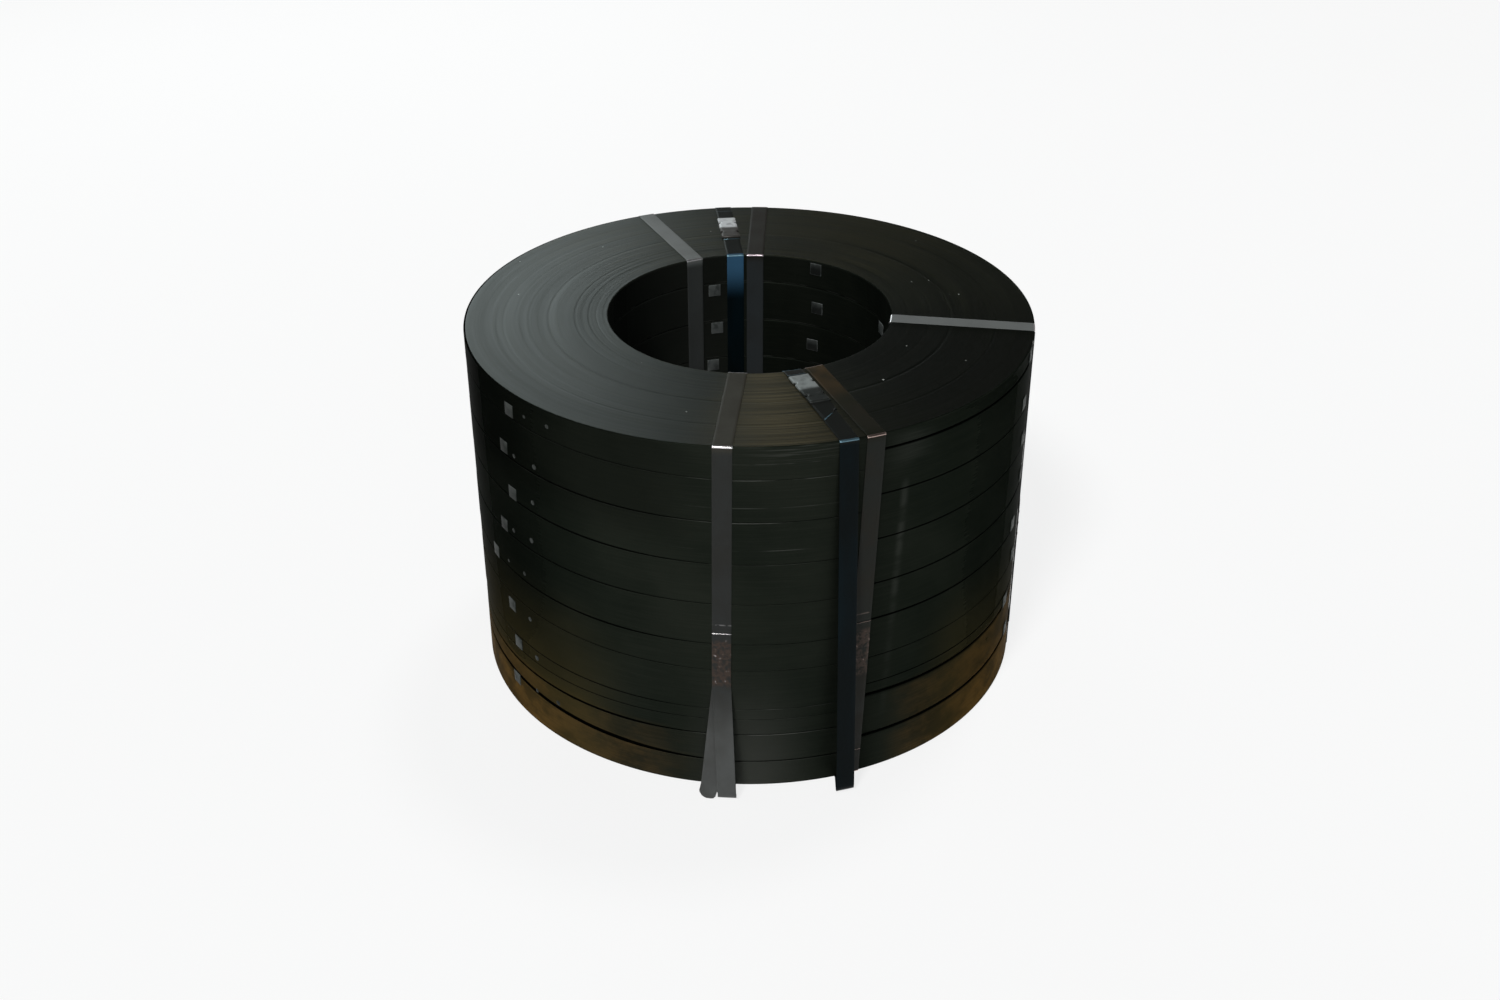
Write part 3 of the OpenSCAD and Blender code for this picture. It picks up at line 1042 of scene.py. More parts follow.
@dataclass
class LayerStrips:
    """The outermost layer: strips bent round the left of the coil, which end under the front right tie.

    The lap lines slope from their depths on the left to their depths at the front between two directions, and
    the gaps close up towards the second one. Directions and steps round the coil are in degrees.
    """

    coil: StripCoil
    start: float = 114.5
    end: float = 292.95
    lean: float = 2.85
    slope: Span = (208.0, 266.0)
    left: tuple[float, ...] = (27.0, 75.5, 122.5, 171.0, 216.0, 248.0, 299.0, 316.0, 332.0, 352.0)
    front: tuple[float, ...] = (35.0, 81.0, 128.0, 173.5, 220.5, 252.0, 299.5, 312.0, 331.0, 365.0)
    gaps: tuple[float, ...] = (0.5, 1.2, 1.5, 0.9, 1.7, 0.6, 1.3, 0.8, 2.6, 4.6)
    highlight_and_wear: tuple[float, ...] = (0.0, 1.0, 1.0, 0.35, 0.1, 0.1, 0.1, 0.9, 0.3, 0.9, 0.3)
    backs: tuple[float, ...] = (0.0, 0.15, 0.05, 0.2, 0.0, 0.25, 0.1, 0.5, 0.3, 0.15, 0.0)
    columns: int = 130
    last_steps: tuple[float, ...] = (1.0, 0.55, 0.4, 0.0)
    closing: float = 25.0
    closed: float = 0.75
    inset: float = 0.1
    lift: float = 0.05
    face_shares: tuple[float, ...] = (0.0, 0.015, 0.5, 0.988, 1.0)
    edge_turns: tuple[float, ...] = (60.0, 30.0, 0.0, -30.0, -60.0)

    def edges(self, k: int, angle: Array) -> tuple[Array, Array]:
        """Works out where a strip begins and ends: at the lap lines above and below, less half of the gap.

        Args:
            k: Number of the strip, from the top down.
            angle: Directions round the coil.

        Returns:
            Heights of its lower and its upper edge, one row a direction.
        """
        share = np.clip((angle - self.slope[0]) / (self.slope[1] - self.slope[0]), 0.0, 1.0)[:, None]
        lines = [self.coil.height - (1.0 - share) * a - share * b for a, b in zip(self.left, self.front)]
        narrow = 1.0 - self.closed * smooth_step(angle, self.slope[1] - self.closing, self.slope[1])[:, None]
        top = np.full_like(share, self.coil.height - self.inset)
        foot = np.full_like(share, self.inset)
        if k > 0:
            top = lines[k - 1] - narrow * self.gaps[k - 1] / 2.0
        if k < len(self.gaps):
            foot = lines[k] + narrow * self.gaps[k] / 2.0
        return foot, top

    def strip(self, k: int) -> Shell:
        """Carries a flat section with rounded edges round the wall.

        The section runs up the outer face, over the upper edge, down the inner face and under the lower edge.

        Args:
            k: Number of the strip, from the top down.

        Returns:
            The strip, closed by its cut ends.
        """
        bounds = (0.0, *self.front, self.coil.height)
        middle = (bounds[k] + bounds[k + 1]) / 2.0
        last = self.end - self.lean * middle / self.coil.height - np.array(self.last_steps)
        angle = np.concatenate([np.linspace(self.start, last[0], self.columns), last[1:]])
        foot, top = self.edges(k, angle)
        half = (self.coil.layer - self.lift - self.backs[k]) / 2.0
        face, turn = np.array(self.face_shares), np.radians(self.edge_turns)
        round_up, round_out = half * np.cos(turn), half * np.sin(turn)
        flat, bent, back = np.zeros(len(face)), np.zeros(len(turn)), np.zeros(2)
        up = np.concatenate([face, bent + 1.0, [1.0, 0.0], bent])
        over = np.concatenate([flat, round_up, back, -round_up])
        out = np.concatenate([flat + half, round_out, back - half, round_out[::-1]])
        low, high = foot + half, top - half
        z = low + (high - low) * up[None, :] + over[None, :]
        r = self.coil.outer + self.lift + half + out[None, :] + 0.0 * z
        # Painted highlight on the upper edge of each strip; painted shade on its lower edge.
        edge_highlight = self.highlight_and_wear[k] * np.concatenate([face >= 1.0, bent + 1.0, back, bent])
        shade = np.concatenate([0.5 * (face <= 0.0), bent, back, bent + 1.0])
        marks = {"edge_highlight": np.tile(edge_highlight, len(r)), "shade": np.tile(shade, len(r))}
        quads = grid_quads(*r.shape, False, True)
        return Shell(wound(r, angle[:, None], z), quads, end_caps(*r.shape), marks).outward()

    def build(self, finish: bpy.types.Material) -> None:
        """Joins the strips into one piece, which stands for the coil's node with the winding."""
        strips = [self.strip(k) for k in range(len(self.gaps) + 1)]
        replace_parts(Shell.join(strips).piece("outer_layer_strips", [finish], Slot.STRIP), "strip_coil")


ARC_POINTS = 9
TIGHT_BEND = 5.0
CUT_MARK = 0.4
CLEAR_SHARE = 0.4


@dataclass
class StrapRun:
    """The line of a strap's inner face: distance from the axis, height, sideways place and bright bends."""

    r: Array
    z: Array
    y: Array
    bend: Array
    closed: bool

    @staticmethod
    def arc(before: Array, corner: Array, after: Array, radius: float) -> Array:
        """Rounds a corner with an arc that touches the lines to its two neighbours.

        Args:
            before: The corner before it.
            corner: The corner.
            after: The corner after it.
            radius: Bend radius.

        Returns:
            Points of the arc.
        """
        a, b = before - corner, after - corner
        a, b = a / np.linalg.norm(a), b / np.linalg.norm(b)
        half = math.acos(np.clip(a @ b, -1.0, 1.0)) / 2.0
        centre = corner + (a + b) / np.linalg.norm(a + b) * radius / math.sin(half)
        start = corner + a * radius / math.tan(half) - centre
        end = corner + b * radius / math.tan(half) - centre
        first = math.atan2(start[1], start[0])
        sweep = (math.atan2(end[1], end[0]) - first + math.pi) % (2.0 * math.pi) - math.pi
        turn = first + sweep * np.linspace(0.0, 1.0, ARC_POINTS)
        return centre + radius * np.stack([np.cos(turn), np.sin(turn)], axis=1)

    @staticmethod
    def through(corners: Sequence[Corner], closed: bool, step: float = 9.0) -> "StrapRun":
        """Rounds the corners with arcs, and adds points to the straight stretches.

        Args:
            corners: Distance from the axis, height and bend radius of each corner.
            closed: Whether the last corner joins the first.
            step: Greatest distance between points.

        Returns:
            The line, with a mark of 1 on the arcs of small bends and at cut ends.
        """
        p = np.array([c[:2] for c in corners])
        line, bends = [], []
        for k, (_, _, radius) in enumerate(corners):
            if not closed and k in (0, len(corners) - 1):
                line.append(p[k][None])
                bends.append(np.zeros(1))
                continue
            line.append(StrapRun.arc(p[k - 1], p[k], p[(k + 1) % len(p)], radius))
            tight = np.full(ARC_POINTS, float(radius < TIGHT_BEND))
            tight[[0, -1]] = 0.0
            bends.append(tight)
        points, bend = np.concatenate(line), np.concatenate(bends)
        if closed:
            points, bend = np.concatenate([points, points[:1]]), np.concatenate([bend, bend[:1]])
        length = np.concatenate([[0.0], np.cumsum(np.linalg.norm(np.diff(points, axis=0), axis=1))])
        more = np.arange(0.0, length[-1], step)
        clear = np.abs(more[:, None] - length[None, :]).min(axis=1) > CLEAR_SHARE * step
        cuts = [] if closed else [CUT_MARK, length[-1] - CUT_MARK]
        s = np.unique(np.concatenate([length, more[clear], cuts]))
        s = s[:-1] if closed else s
        r, z, bend = (np.interp(s, length, v) for v in (points[:, 0], points[:, 1], bend))
        if not closed:
            bend[[0, -1]] = 1.0
        return StrapRun(r, z, np.zeros_like(r), bend, closed)

    def normals(self) -> tuple[Array, Array]:
        """Works out directions square to the line, to the right of its course, which is away from the coil.

        Returns:
            Their parts away from the axis and upward.
        """
        if self.closed:
            dr, dz = np.roll(self.r, -1) - np.roll(self.r, 1), np.roll(self.z, -1) - np.roll(self.z, 1)
        else:
            dr, dz = np.gradient(self.r), np.gradient(self.z)
        size = np.hypot(dr, dz)
        return dz / size, -dr / size


@dataclass(frozen=True)
class Sway:
    """How far a strap stands sideways of its line.

    The offsets belong to heights on the outer wall, and the leg to the place where it goes under the wall.
    """

    heights: tuple[float, ...] = (0.0, 395.0)
    offsets: tuple[float, ...] = (0.0, 0.0)
    leg: float = 0.0
    head_band: float = 2.0
    beyond: float = 0.001

    def at(self, z: Union[Array, float]) -> Union[Array, float]:
        """Sideways place at a height."""
        return np.interp(z, self.heights, self.offsets)

    def lean(self, run: StrapRun, coil: StripCoil, wall: float, bend: float) -> StrapRun:
        """Leans a loop: along the heights on the wall, and back to its line across both end faces.

        Args:
            run: The loop.
            coil: The coil that it is tied round.
            wall: Radius of the wall that the strap lies on.
            bend: Height of the bend at its foot.

        Returns:
            The same loop, with its sideways places set.
        """
        over = np.interp(run.r, [coil.bore, wall], [0.0, self.offsets[-1]])
        reach = [coil.bore, wall, run.r.max() + self.beyond]
        under = np.interp(run.r, reach, [0.0, self.leg, self.offsets[0]])
        outside = run.r > (coil.bore + wall) / 2.0
        run.y = np.where(outside, self.at(run.z), 0.0)
        run.y = np.where(run.z > coil.height - self.head_band, over, np.where(run.z < bend, under, run.y))
        return run


@dataclass(frozen=True)
class Strap:
    """Flat steel strapping with rounded edges."""

    width: float = 19.0
    thick: float = 0.5
    flat_points: int = 9
    edge_turns: tuple[float, ...] = (45.0, 0.0, -45.0)
    slant_from: float = 0.7
    corner_fade: float = 1.8

    def section(self) -> tuple[Array, Array]:
        """Works out the section: across the outer face, round an edge, back inside, round the other edge.

        Returns:
            Places across the strap, and heights above its inner face.
        """
        half = self.thick / 2.0
        flat = np.linspace(-1.0, 1.0, self.flat_points) * (self.width / 2.0 - half)
        turn = np.radians(self.edge_turns)
        wide, tall, face = half * np.cos(turn), half * np.sin(turn), np.full(self.flat_points, half)
        across = np.concatenate([flat, flat[-1] + wide, flat[::-1], flat[0] - wide])
        return across, half + np.concatenate([face, tall, -face, -tall])

    def along(self, run: StrapRun, angle: float, shift: float, slant: float = 0.0,
              corners: Sequence[Span] = ()) -> Shell:
        """Carries the section along a run, bent to the coil's round walls.

        Args:
            run: The line of its inner face.
            angle: Direction of the strap's upright plane, in degrees.
            shift: Sideways place in that plane.
            slant: How much further the last end reaches at one edge than in the middle.
            corners: Width and height of the rounded left and right corner at the first end.

        Returns:
            The strap, closed by caps where the run is open.
        """
        across, up = self.section()
        nr, nz = run.normals()
        r = run.r[:, None] + nr[:, None] * up[None, :]
        z = run.z[:, None] + nz[:, None] * up[None, :]
        lateral = shift + run.y[:, None] + across[None, :]
        if slant:
            last = smooth_step(np.linspace(0.0, 1.0, len(run.r)), self.slant_from, 1.0)[:, None]
            r = r + last * slant * across[None, :] / (self.width / 2.0)
        steps = np.hypot(np.diff(run.r), np.diff(run.z))
        far = np.concatenate([[0.0], np.cumsum(steps)])[:, None]
        for (wide, tall), side in zip(corners, (-1.0, 1.0)):
            share = np.clip((side * across - self.width / 2.0) / wide + 1.0, 0.0, 1.0)[None, :]
            fade = 1.0 - smooth_step(far, 0.0, self.corner_fade * tall)
            z = z + tall * (1.0 - np.sqrt(1.0 - share * share)) * fade
        radial = np.sqrt(np.maximum(r * r - lateral * lateral, 0.0))
        caps = [] if run.closed else end_caps(*r.shape)
        bend = np.repeat(run.bend, len(across))
        points = turned(radial, lateral, z, angle) * MM
        quads = grid_quads(*r.shape, run.closed, True)[:, ::-1]
        return Shell(points, quads, caps, {"bend": bend}).outward()


DOME_RINGS = (0.25, 0.6, 0.85, 1.0)
DOME_SIDES = 12


def dome(r: float, lateral: float, z: float, angle: float, radius: float, rise: float) -> Shell:
    """A low round bump on a wall: height rise (1 - q^2) over rings of radius q, closed by a flat back.

    Args:
        r: Distance of its back from the axis, in the plane of the angle.
        lateral: Sideways place.
        z: Height of its middle.
        angle: Direction that it faces, in degrees.
        radius: Radius of its rim.
        rise: Height of its crown.

    Returns:
        The bump, with its middle closed by a cap.
    """
    q = np.array(DOME_RINGS)[:, None]
    turn = np.linspace(0.0, 2.0 * math.pi, DOME_SIDES, endpoint=False)[None, :]
    side = lateral + radius * q * np.cos(turn)
    up = z + radius * q * np.sin(turn)
    out = np.sqrt(np.maximum(r * r - side * side, 0.0)) + rise * (1.0 - q * q)
    points = turned(out, side, up, angle) * MM
    quads = grid_quads(*out.shape, False, True)
    caps = [cap[::-1] for cap in end_caps(*out.shape)]
    return Shell(points, quads, caps, {"bend": np.zeros(len(points))}).outward()


@dataclass(frozen=True)
class TiePlan:
    """A plain tie: its node, the wall that it lies on, its direction, its finish and how it leans."""

    node: str
    wall: float
    angle: float
    finish: TieSteel
    shift: float = 0.0
    sway: Sway = Sway()
    low: float = 0.0


@dataclass
class Ties:
    """The seven straps round the coil's section, with their lap joints and loose ends."""

    coil: StripCoil
    strap: Strap = Strap()
    fit: float = 0.15
    bend: float = 1.5
    slack_out: float = 28.0
    slack_bend: float = 9.0
    slack_z: float = 125.0
    leave_bend: float = 60.0
    joint_top: float = 188.0
    joint_foot: float = 30.0
    joint_hang: float = 8.0
    spot_rows: int = 3
    spot_step: float = 14.0
    spot_places: Span = (-4.5, 4.5)
    spot_radius: float = 2.4
    spot_rise: float = 0.5
    spot_sink: float = 0.1
    tail_reach: float = -16.0
    tail_back: float = 4.0
    tail_clear: float = 0.3
    tail_sink: float = 0.05
    tail_drop: float = 4.0
    tail_lap: float = 9.0
    tail_bend: float = 90.0
    tail_corners: tuple[Span, ...] = ((9.0, 10.0), (6.0, 16.0))
    front_sway: Sway = Sway((0.0, 125.0, 140.0, 395.0), (3.0, -4.0, -4.0, -1.5))
    blue_sway: Sway = Sway((0.0, 395.0), (-6.0, -2.0), 3.6)
    grey_sway: Sway = Sway((0.0, 395.0), (-13.0, 2.0), -13.0)
    seal_lift: float = 1.25
    front: float = -94.5
    pair: float = -70.0
    blue_shift: float = -10.0
    grey_shift: float = 13.5
    right: float = -8.5
    back_left: float = 114.5
    back_blue: float = 96.2
    back: float = 87.6
    front_seal: float = 196.5
    back_seal: float = 228.5
    seal_length: float = 57.0
    seal_tail: float = 26.0
    seal_lead: float = 5.0
    cut_slant: float = -9.5
    grey_steel: TieSteel = TieSteel(
        "grey_strap", top=(0.036, 0.034, 0.027), wall=(0.0240, 0.0255, 0.0245), foot=(0.085, 0.088, 0.086),
    )
    dark_steel: TieSteel = TieSteel(
        "dark_strap", top=(0.0098, 0.0098, 0.0060), wall=(0.0114, 0.0130, 0.0108), foot=(0.020, 0.021, 0.019),
        stain=0.6, rusty=0.6, bright=(0.62, 0.46, 0.41),
    )
    pale_steel: TieSteel = TieSteel(
        "pale_strap", top=(0.132, 0.139, 0.136), wall=(0.045, 0.048, 0.047), foot=(0.045, 0.048, 0.047),
        stain=0.15,
    )
    dull_steel: TieSteel = TieSteel(
        "dull_strap", top=(0.0200, 0.0185, 0.0160), wall=(0.030, 0.034, 0.036), foot=(0.030, 0.032, 0.032),
        bright=(0.60, 0.50, 0.54),
    )
    lacquer: BlueLacquer = BlueLacquer()

    def loop(self, wall: float, sway: Sway, foot: Sequence[Corner] = (), head: Sequence[Corner] = (),
             low: float = 0.0) -> StrapRun:
        """The line round the section of the coil.

        Args:
            wall: Radius of the wall that the strap lies on.
            sway: How the strap leans.
            foot: Corners that take the place of the one at the wall's foot.
            head: Corners between the wall's head and the bore's.
            low: How much higher than usual the strap passes under the coil.

        Returns:
            The closed line.
        """
        under, high = low - self.fit, self.coil.height + self.fit
        bore, out = self.coil.bore - self.fit, wall + self.fit
        corners = [(bore, under, self.bend), *(foot or [(out, under, self.bend)])]
        corners += [(out, high, self.bend), *head, (bore, high, self.bend)]
        run = StrapRun.through(corners, True)
        return sway.lean(run, self.coil, wall, self.slack_bend if foot else self.bend)

    def joint(self, wall: float, foot: float, angle: float, shift: float, sway: Sway) -> list[Shell]:
        """The second ply of a lap joint, with rows of two round weld spots.

        Args:
            wall: Radius of the wall that the strap lies on.
            foot: Height of the ply's lower end.
            angle: Direction of the strap, in degrees.
            shift: Sideways place.
            sway: How the strap leans.

        Returns:
            The ply and its spots.
        """
        r = wall + self.fit + self.strap.thick
        ply = StrapRun.through([(r, foot, 0.0), (r, self.joint_top, 0.0)], False)
        ply.y = sway.at(ply.z)
        shells = [self.strap.along(ply, angle, shift)]
        face = r + self.strap.thick - self.spot_sink
        for row in range(1, self.spot_rows + 1):
            z = self.joint_top - self.spot_step * row
            for across in self.spot_places:
                side = shift + sway.at(z) + across
                shells.append(dome(face, side, z, angle, self.spot_radius, self.spot_rise))
        return shells

    def tail(self) -> Shell:
        """The loose end of the front tie, which leaves the wall behind the loop and fans out to the floor.

        Returns:
            The loose end.
        """
        wall = self.coil.outer + self.coil.layer
        r = wall + self.fit - self.tail_sink
        tip = (wall + self.slack_out - self.tail_back, self.tail_clear, 0.0)
        leave = (r, self.slack_z - self.tail_drop, self.tail_bend)
        run = StrapRun.through([tip, leave, (r, self.slack_z + self.tail_lap, 0.0)], False)
        run.bend[-1] = 0.0
        start = self.front_sway.at(self.slack_z)
        run.y = start + (self.tail_reach - start) * np.clip(1.0 - run.z / self.slack_z, 0.0, None)
        return self.strap.along(run, self.front, 0.0, corners=self.tail_corners)

    def front_tie(self, slack: Corner) -> list[Shell]:
        """The front tie: a loop that leaves the wall for its slack foot, a loose end and a joint.

        Args:
            slack: Corner at the slack foot.

        Returns:
            Its shells.
        """
        wall = self.coil.outer + self.coil.layer
        leave = (wall + self.fit, self.slack_z, self.leave_bend)
        loop = self.strap.along(self.loop(wall, self.front_sway, [slack, leave]), self.front, 0.0)
        joint = self.joint(wall, self.slack_z - self.joint_hang, self.front, 0.0, self.front_sway)
        return [loop, self.tail(), *joint]

    def sealed_tie(self, wall: float, sway: Sway, foot: Sequence[Corner], middle: float, angle: float,
                   shift: float, slant: float) -> list[Shell]:
        """A tie closed by a seal: a loop raised inside it, and its upper end, which shows beyond it.

        Args:
            wall: Radius of the wall that the strap lies on.
            sway: How the strap leans.
            foot: Corners at its foot, where it isn't tight.
            middle: Distance of the seal's middle from the axis.
            angle: Direction of the strap, in degrees.
            shift: Sideways place.
            slant: How much further its end reaches at one edge than in the middle.

        Returns:
            The loop and the upper end.
        """
        high, half = self.coil.height + self.seal_lift, self.seal_length / 2.0
        head = [(middle + half, high, self.leave_bend), (middle - half, high, self.leave_bend)]
        loop = self.strap.along(self.loop(wall, sway, foot, head), angle, shift)
        z = high + self.strap.thick
        ends = [(middle - half - self.seal_lead, z, 0.0), (middle + half + self.seal_tail, z, 0.0)]
        return [loop, self.strap.along(StrapRun.through(ends, False), angle, shift, slant)]

    def plain_tie(self, plan: TiePlan) -> list[Shell]:
        """A tie that lies tight all round, with its joint."""
        loop = self.strap.along(self.loop(plan.wall, plan.sway, low=plan.low), plan.angle, plan.shift)
        return [loop, *self.joint(plan.wall, self.joint_foot, plan.angle, plan.shift, plan.sway)]

    def build(self) -> None:
        """Builds each tie from its loop and what is welded or laid on it."""
        wall, layer = self.coil.outer, self.coil.outer + self.coil.layer
        slack = (layer + self.slack_out, -self.fit, self.slack_bend)
        self.finish("front_tie", self.front_tie(slack), self.grey_steel.material(), Slot.GREY_TIE)
        blue = self.lacquer.material()
        front = (layer, self.blue_sway, [slack], self.front_seal, self.pair, self.blue_shift, self.cut_slant)
        self.finish("front_blue_tie", self.sealed_tie(*front), blue, Slot.BLUE_TIE)
        back = (wall, Sway(), [], self.back_seal, self.back_blue, 0.0, 0.0)
        self.finish("back_blue_tie", self.sealed_tie(*back), blue, Slot.BLUE_TIE)
        dark, pale, dull = self.dark_steel, self.pale_steel, self.dull_steel
        steel = {finish: finish.material() for finish in (dark, pale, dull)}
        low = self.coil.relief
        plans = (
            TiePlan("front_right_tie", layer, self.pair, dark, self.grey_shift, self.grey_sway, low),
            TiePlan("right_tie", wall, self.right, pale),
            TiePlan("back_left_tie", layer, self.back_left, pale),
            TiePlan("back_tie", wall, self.back, dull),
        )
        for plan in plans:
            self.finish(plan.node, self.plain_tie(plan), steel[plan.finish], Slot.GREY_TIE)

    def finish(self, node: str, shells: Sequence[Shell], material: bpy.types.Material, slot: Slot) -> None:
        """Joins the shells of one tie into the piece that stands for its node."""
        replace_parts(Shell.join(shells).piece(f"{node}_strap", [material], slot), node)


@dataclass
class Seal:
    """A sheet sleeve folded round two straps, pressed in at two pairs of crimps.

    Places along the sleeve are shares of its length from its middle.
    """

    ties: Ties
    wall: float = 0.9
    slot_fit: float = 0.2
    notch: float = 3.0
    crimps: Span = (-0.25, 0.25)
    crimp_reach: Span = (0.18, 0.32)
    rows: int = 25
    crimp_rows: int = 17
    flat_points: int = 9
    edge_turns: tuple[float, ...] = (60.0, 30.0, 0.0, -30.0, -60.0)
    bite: float = 0.8
    swell: float = 0.35
    edge_swell: float = 0.2
    flare_from: float = 0.46
    flare_out: float = 0.25
    flare_up: float = 0.15
    shade_span: Span = (-0.04, 0.06)
    front_zinc: ZincSheet = ZincSheet("front_zinc", (0.27, 0.292, 0.288), (0.18, 0.193, 0.190))
    back_zinc: ZincSheet = ZincSheet(
        "back_zinc", (0.62, 0.63, 0.64), (0.40, 0.40, 0.41), dark=(0.060, 0.054, 0.050),
    )

    def sleeve(self, middle: float, angle: float, shift: float, dull: float) -> Shell:
        """Carries a rounded flat section along the strap.

        The half width shrinks by a half circle at each crimp, where the sheet swells up a little, and the
        ends flare. The section runs over the top, round one edge, back along the bottom and round the other.

        Args:
            middle: Distance of its middle from the axis.
            angle: Direction of the strap, in degrees.
            shift: Sideways place.
            dull: 1 where the end away from the axis takes the painted shade, -1 where the other end does.

        Returns:
            The sleeve.
        """
        length, strap = self.ties.seal_length, self.ties.strap
        near, far = self.crimp_reach
        crimped = [np.linspace(-far, -near, self.crimp_rows), np.linspace(near, far, self.crimp_rows)]
        s = np.unique(np.concatenate([np.linspace(-0.5, 0.5, self.rows), *crimped]))[:, None] * length
        circles = [1.0 - ((s - place * length) / self.notch) ** 2 for place in self.crimps]
        crimp = sum(np.sqrt(np.clip(circle, 0.0, None)) for circle in circles)
        flare = smooth_step(np.abs(s), self.flare_from * length, 0.5 * length)
        height = 2.0 * (strap.thick + self.slot_fit + self.wall)
        corner = height / 2.0
        half = strap.width / 2.0 + self.slot_fit + self.wall + self.flare_out * flare
        reach = half - corner - self.notch * self.bite * crimp
        flat = np.linspace(-1.0, 1.0, self.flat_points)[None, :]
        turn = np.radians(self.edge_turns)[None, :]
        face, edge = flat * reach, reach + corner * np.cos(turn)
        top = height + self.swell * crimp * flat * flat + self.flare_up * flare
        side = corner + corner * np.sin(turn) + self.edge_swell * crimp
        across = np.concatenate([face, edge, face[:, ::-1], -edge[:, ::-1]], axis=1)
        up = np.concatenate([top, side, 0.0 * top, side[:, ::-1]], axis=1)
        z = self.ties.coil.height + self.ties.fit + up
        points = turned(middle + s + 0.0 * across, shift + across, z, angle) * MM
        # Painted shade over one half of the sleeve.
        start, end = self.shade_span
        tone = smooth_step(dull * s, start * length, end * length) + 0.0 * across
        quads = grid_quads(*across.shape, False, True)[:, ::-1]
        return Shell(points, quads, end_caps(*across.shape), {"bend": tone.reshape(-1)}).outward()

    def build(self) -> None:
        """Builds the front and the back seal."""
        ties = self.ties
        places = (
            ("front_seal", ties.front_seal, ties.pair, ties.blue_shift, 1.0, self.front_zinc),
            ("back_seal", ties.back_seal, ties.back_blue, 0.0, -1.0, self.back_zinc),
        )
        for node, middle, angle, shift, dull, zinc in places:
            sleeve = self.sleeve(middle, angle, shift, dull)
            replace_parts(sleeve.piece(f"{node}_sleeve", [zinc.material()], Slot.SEAL), node)


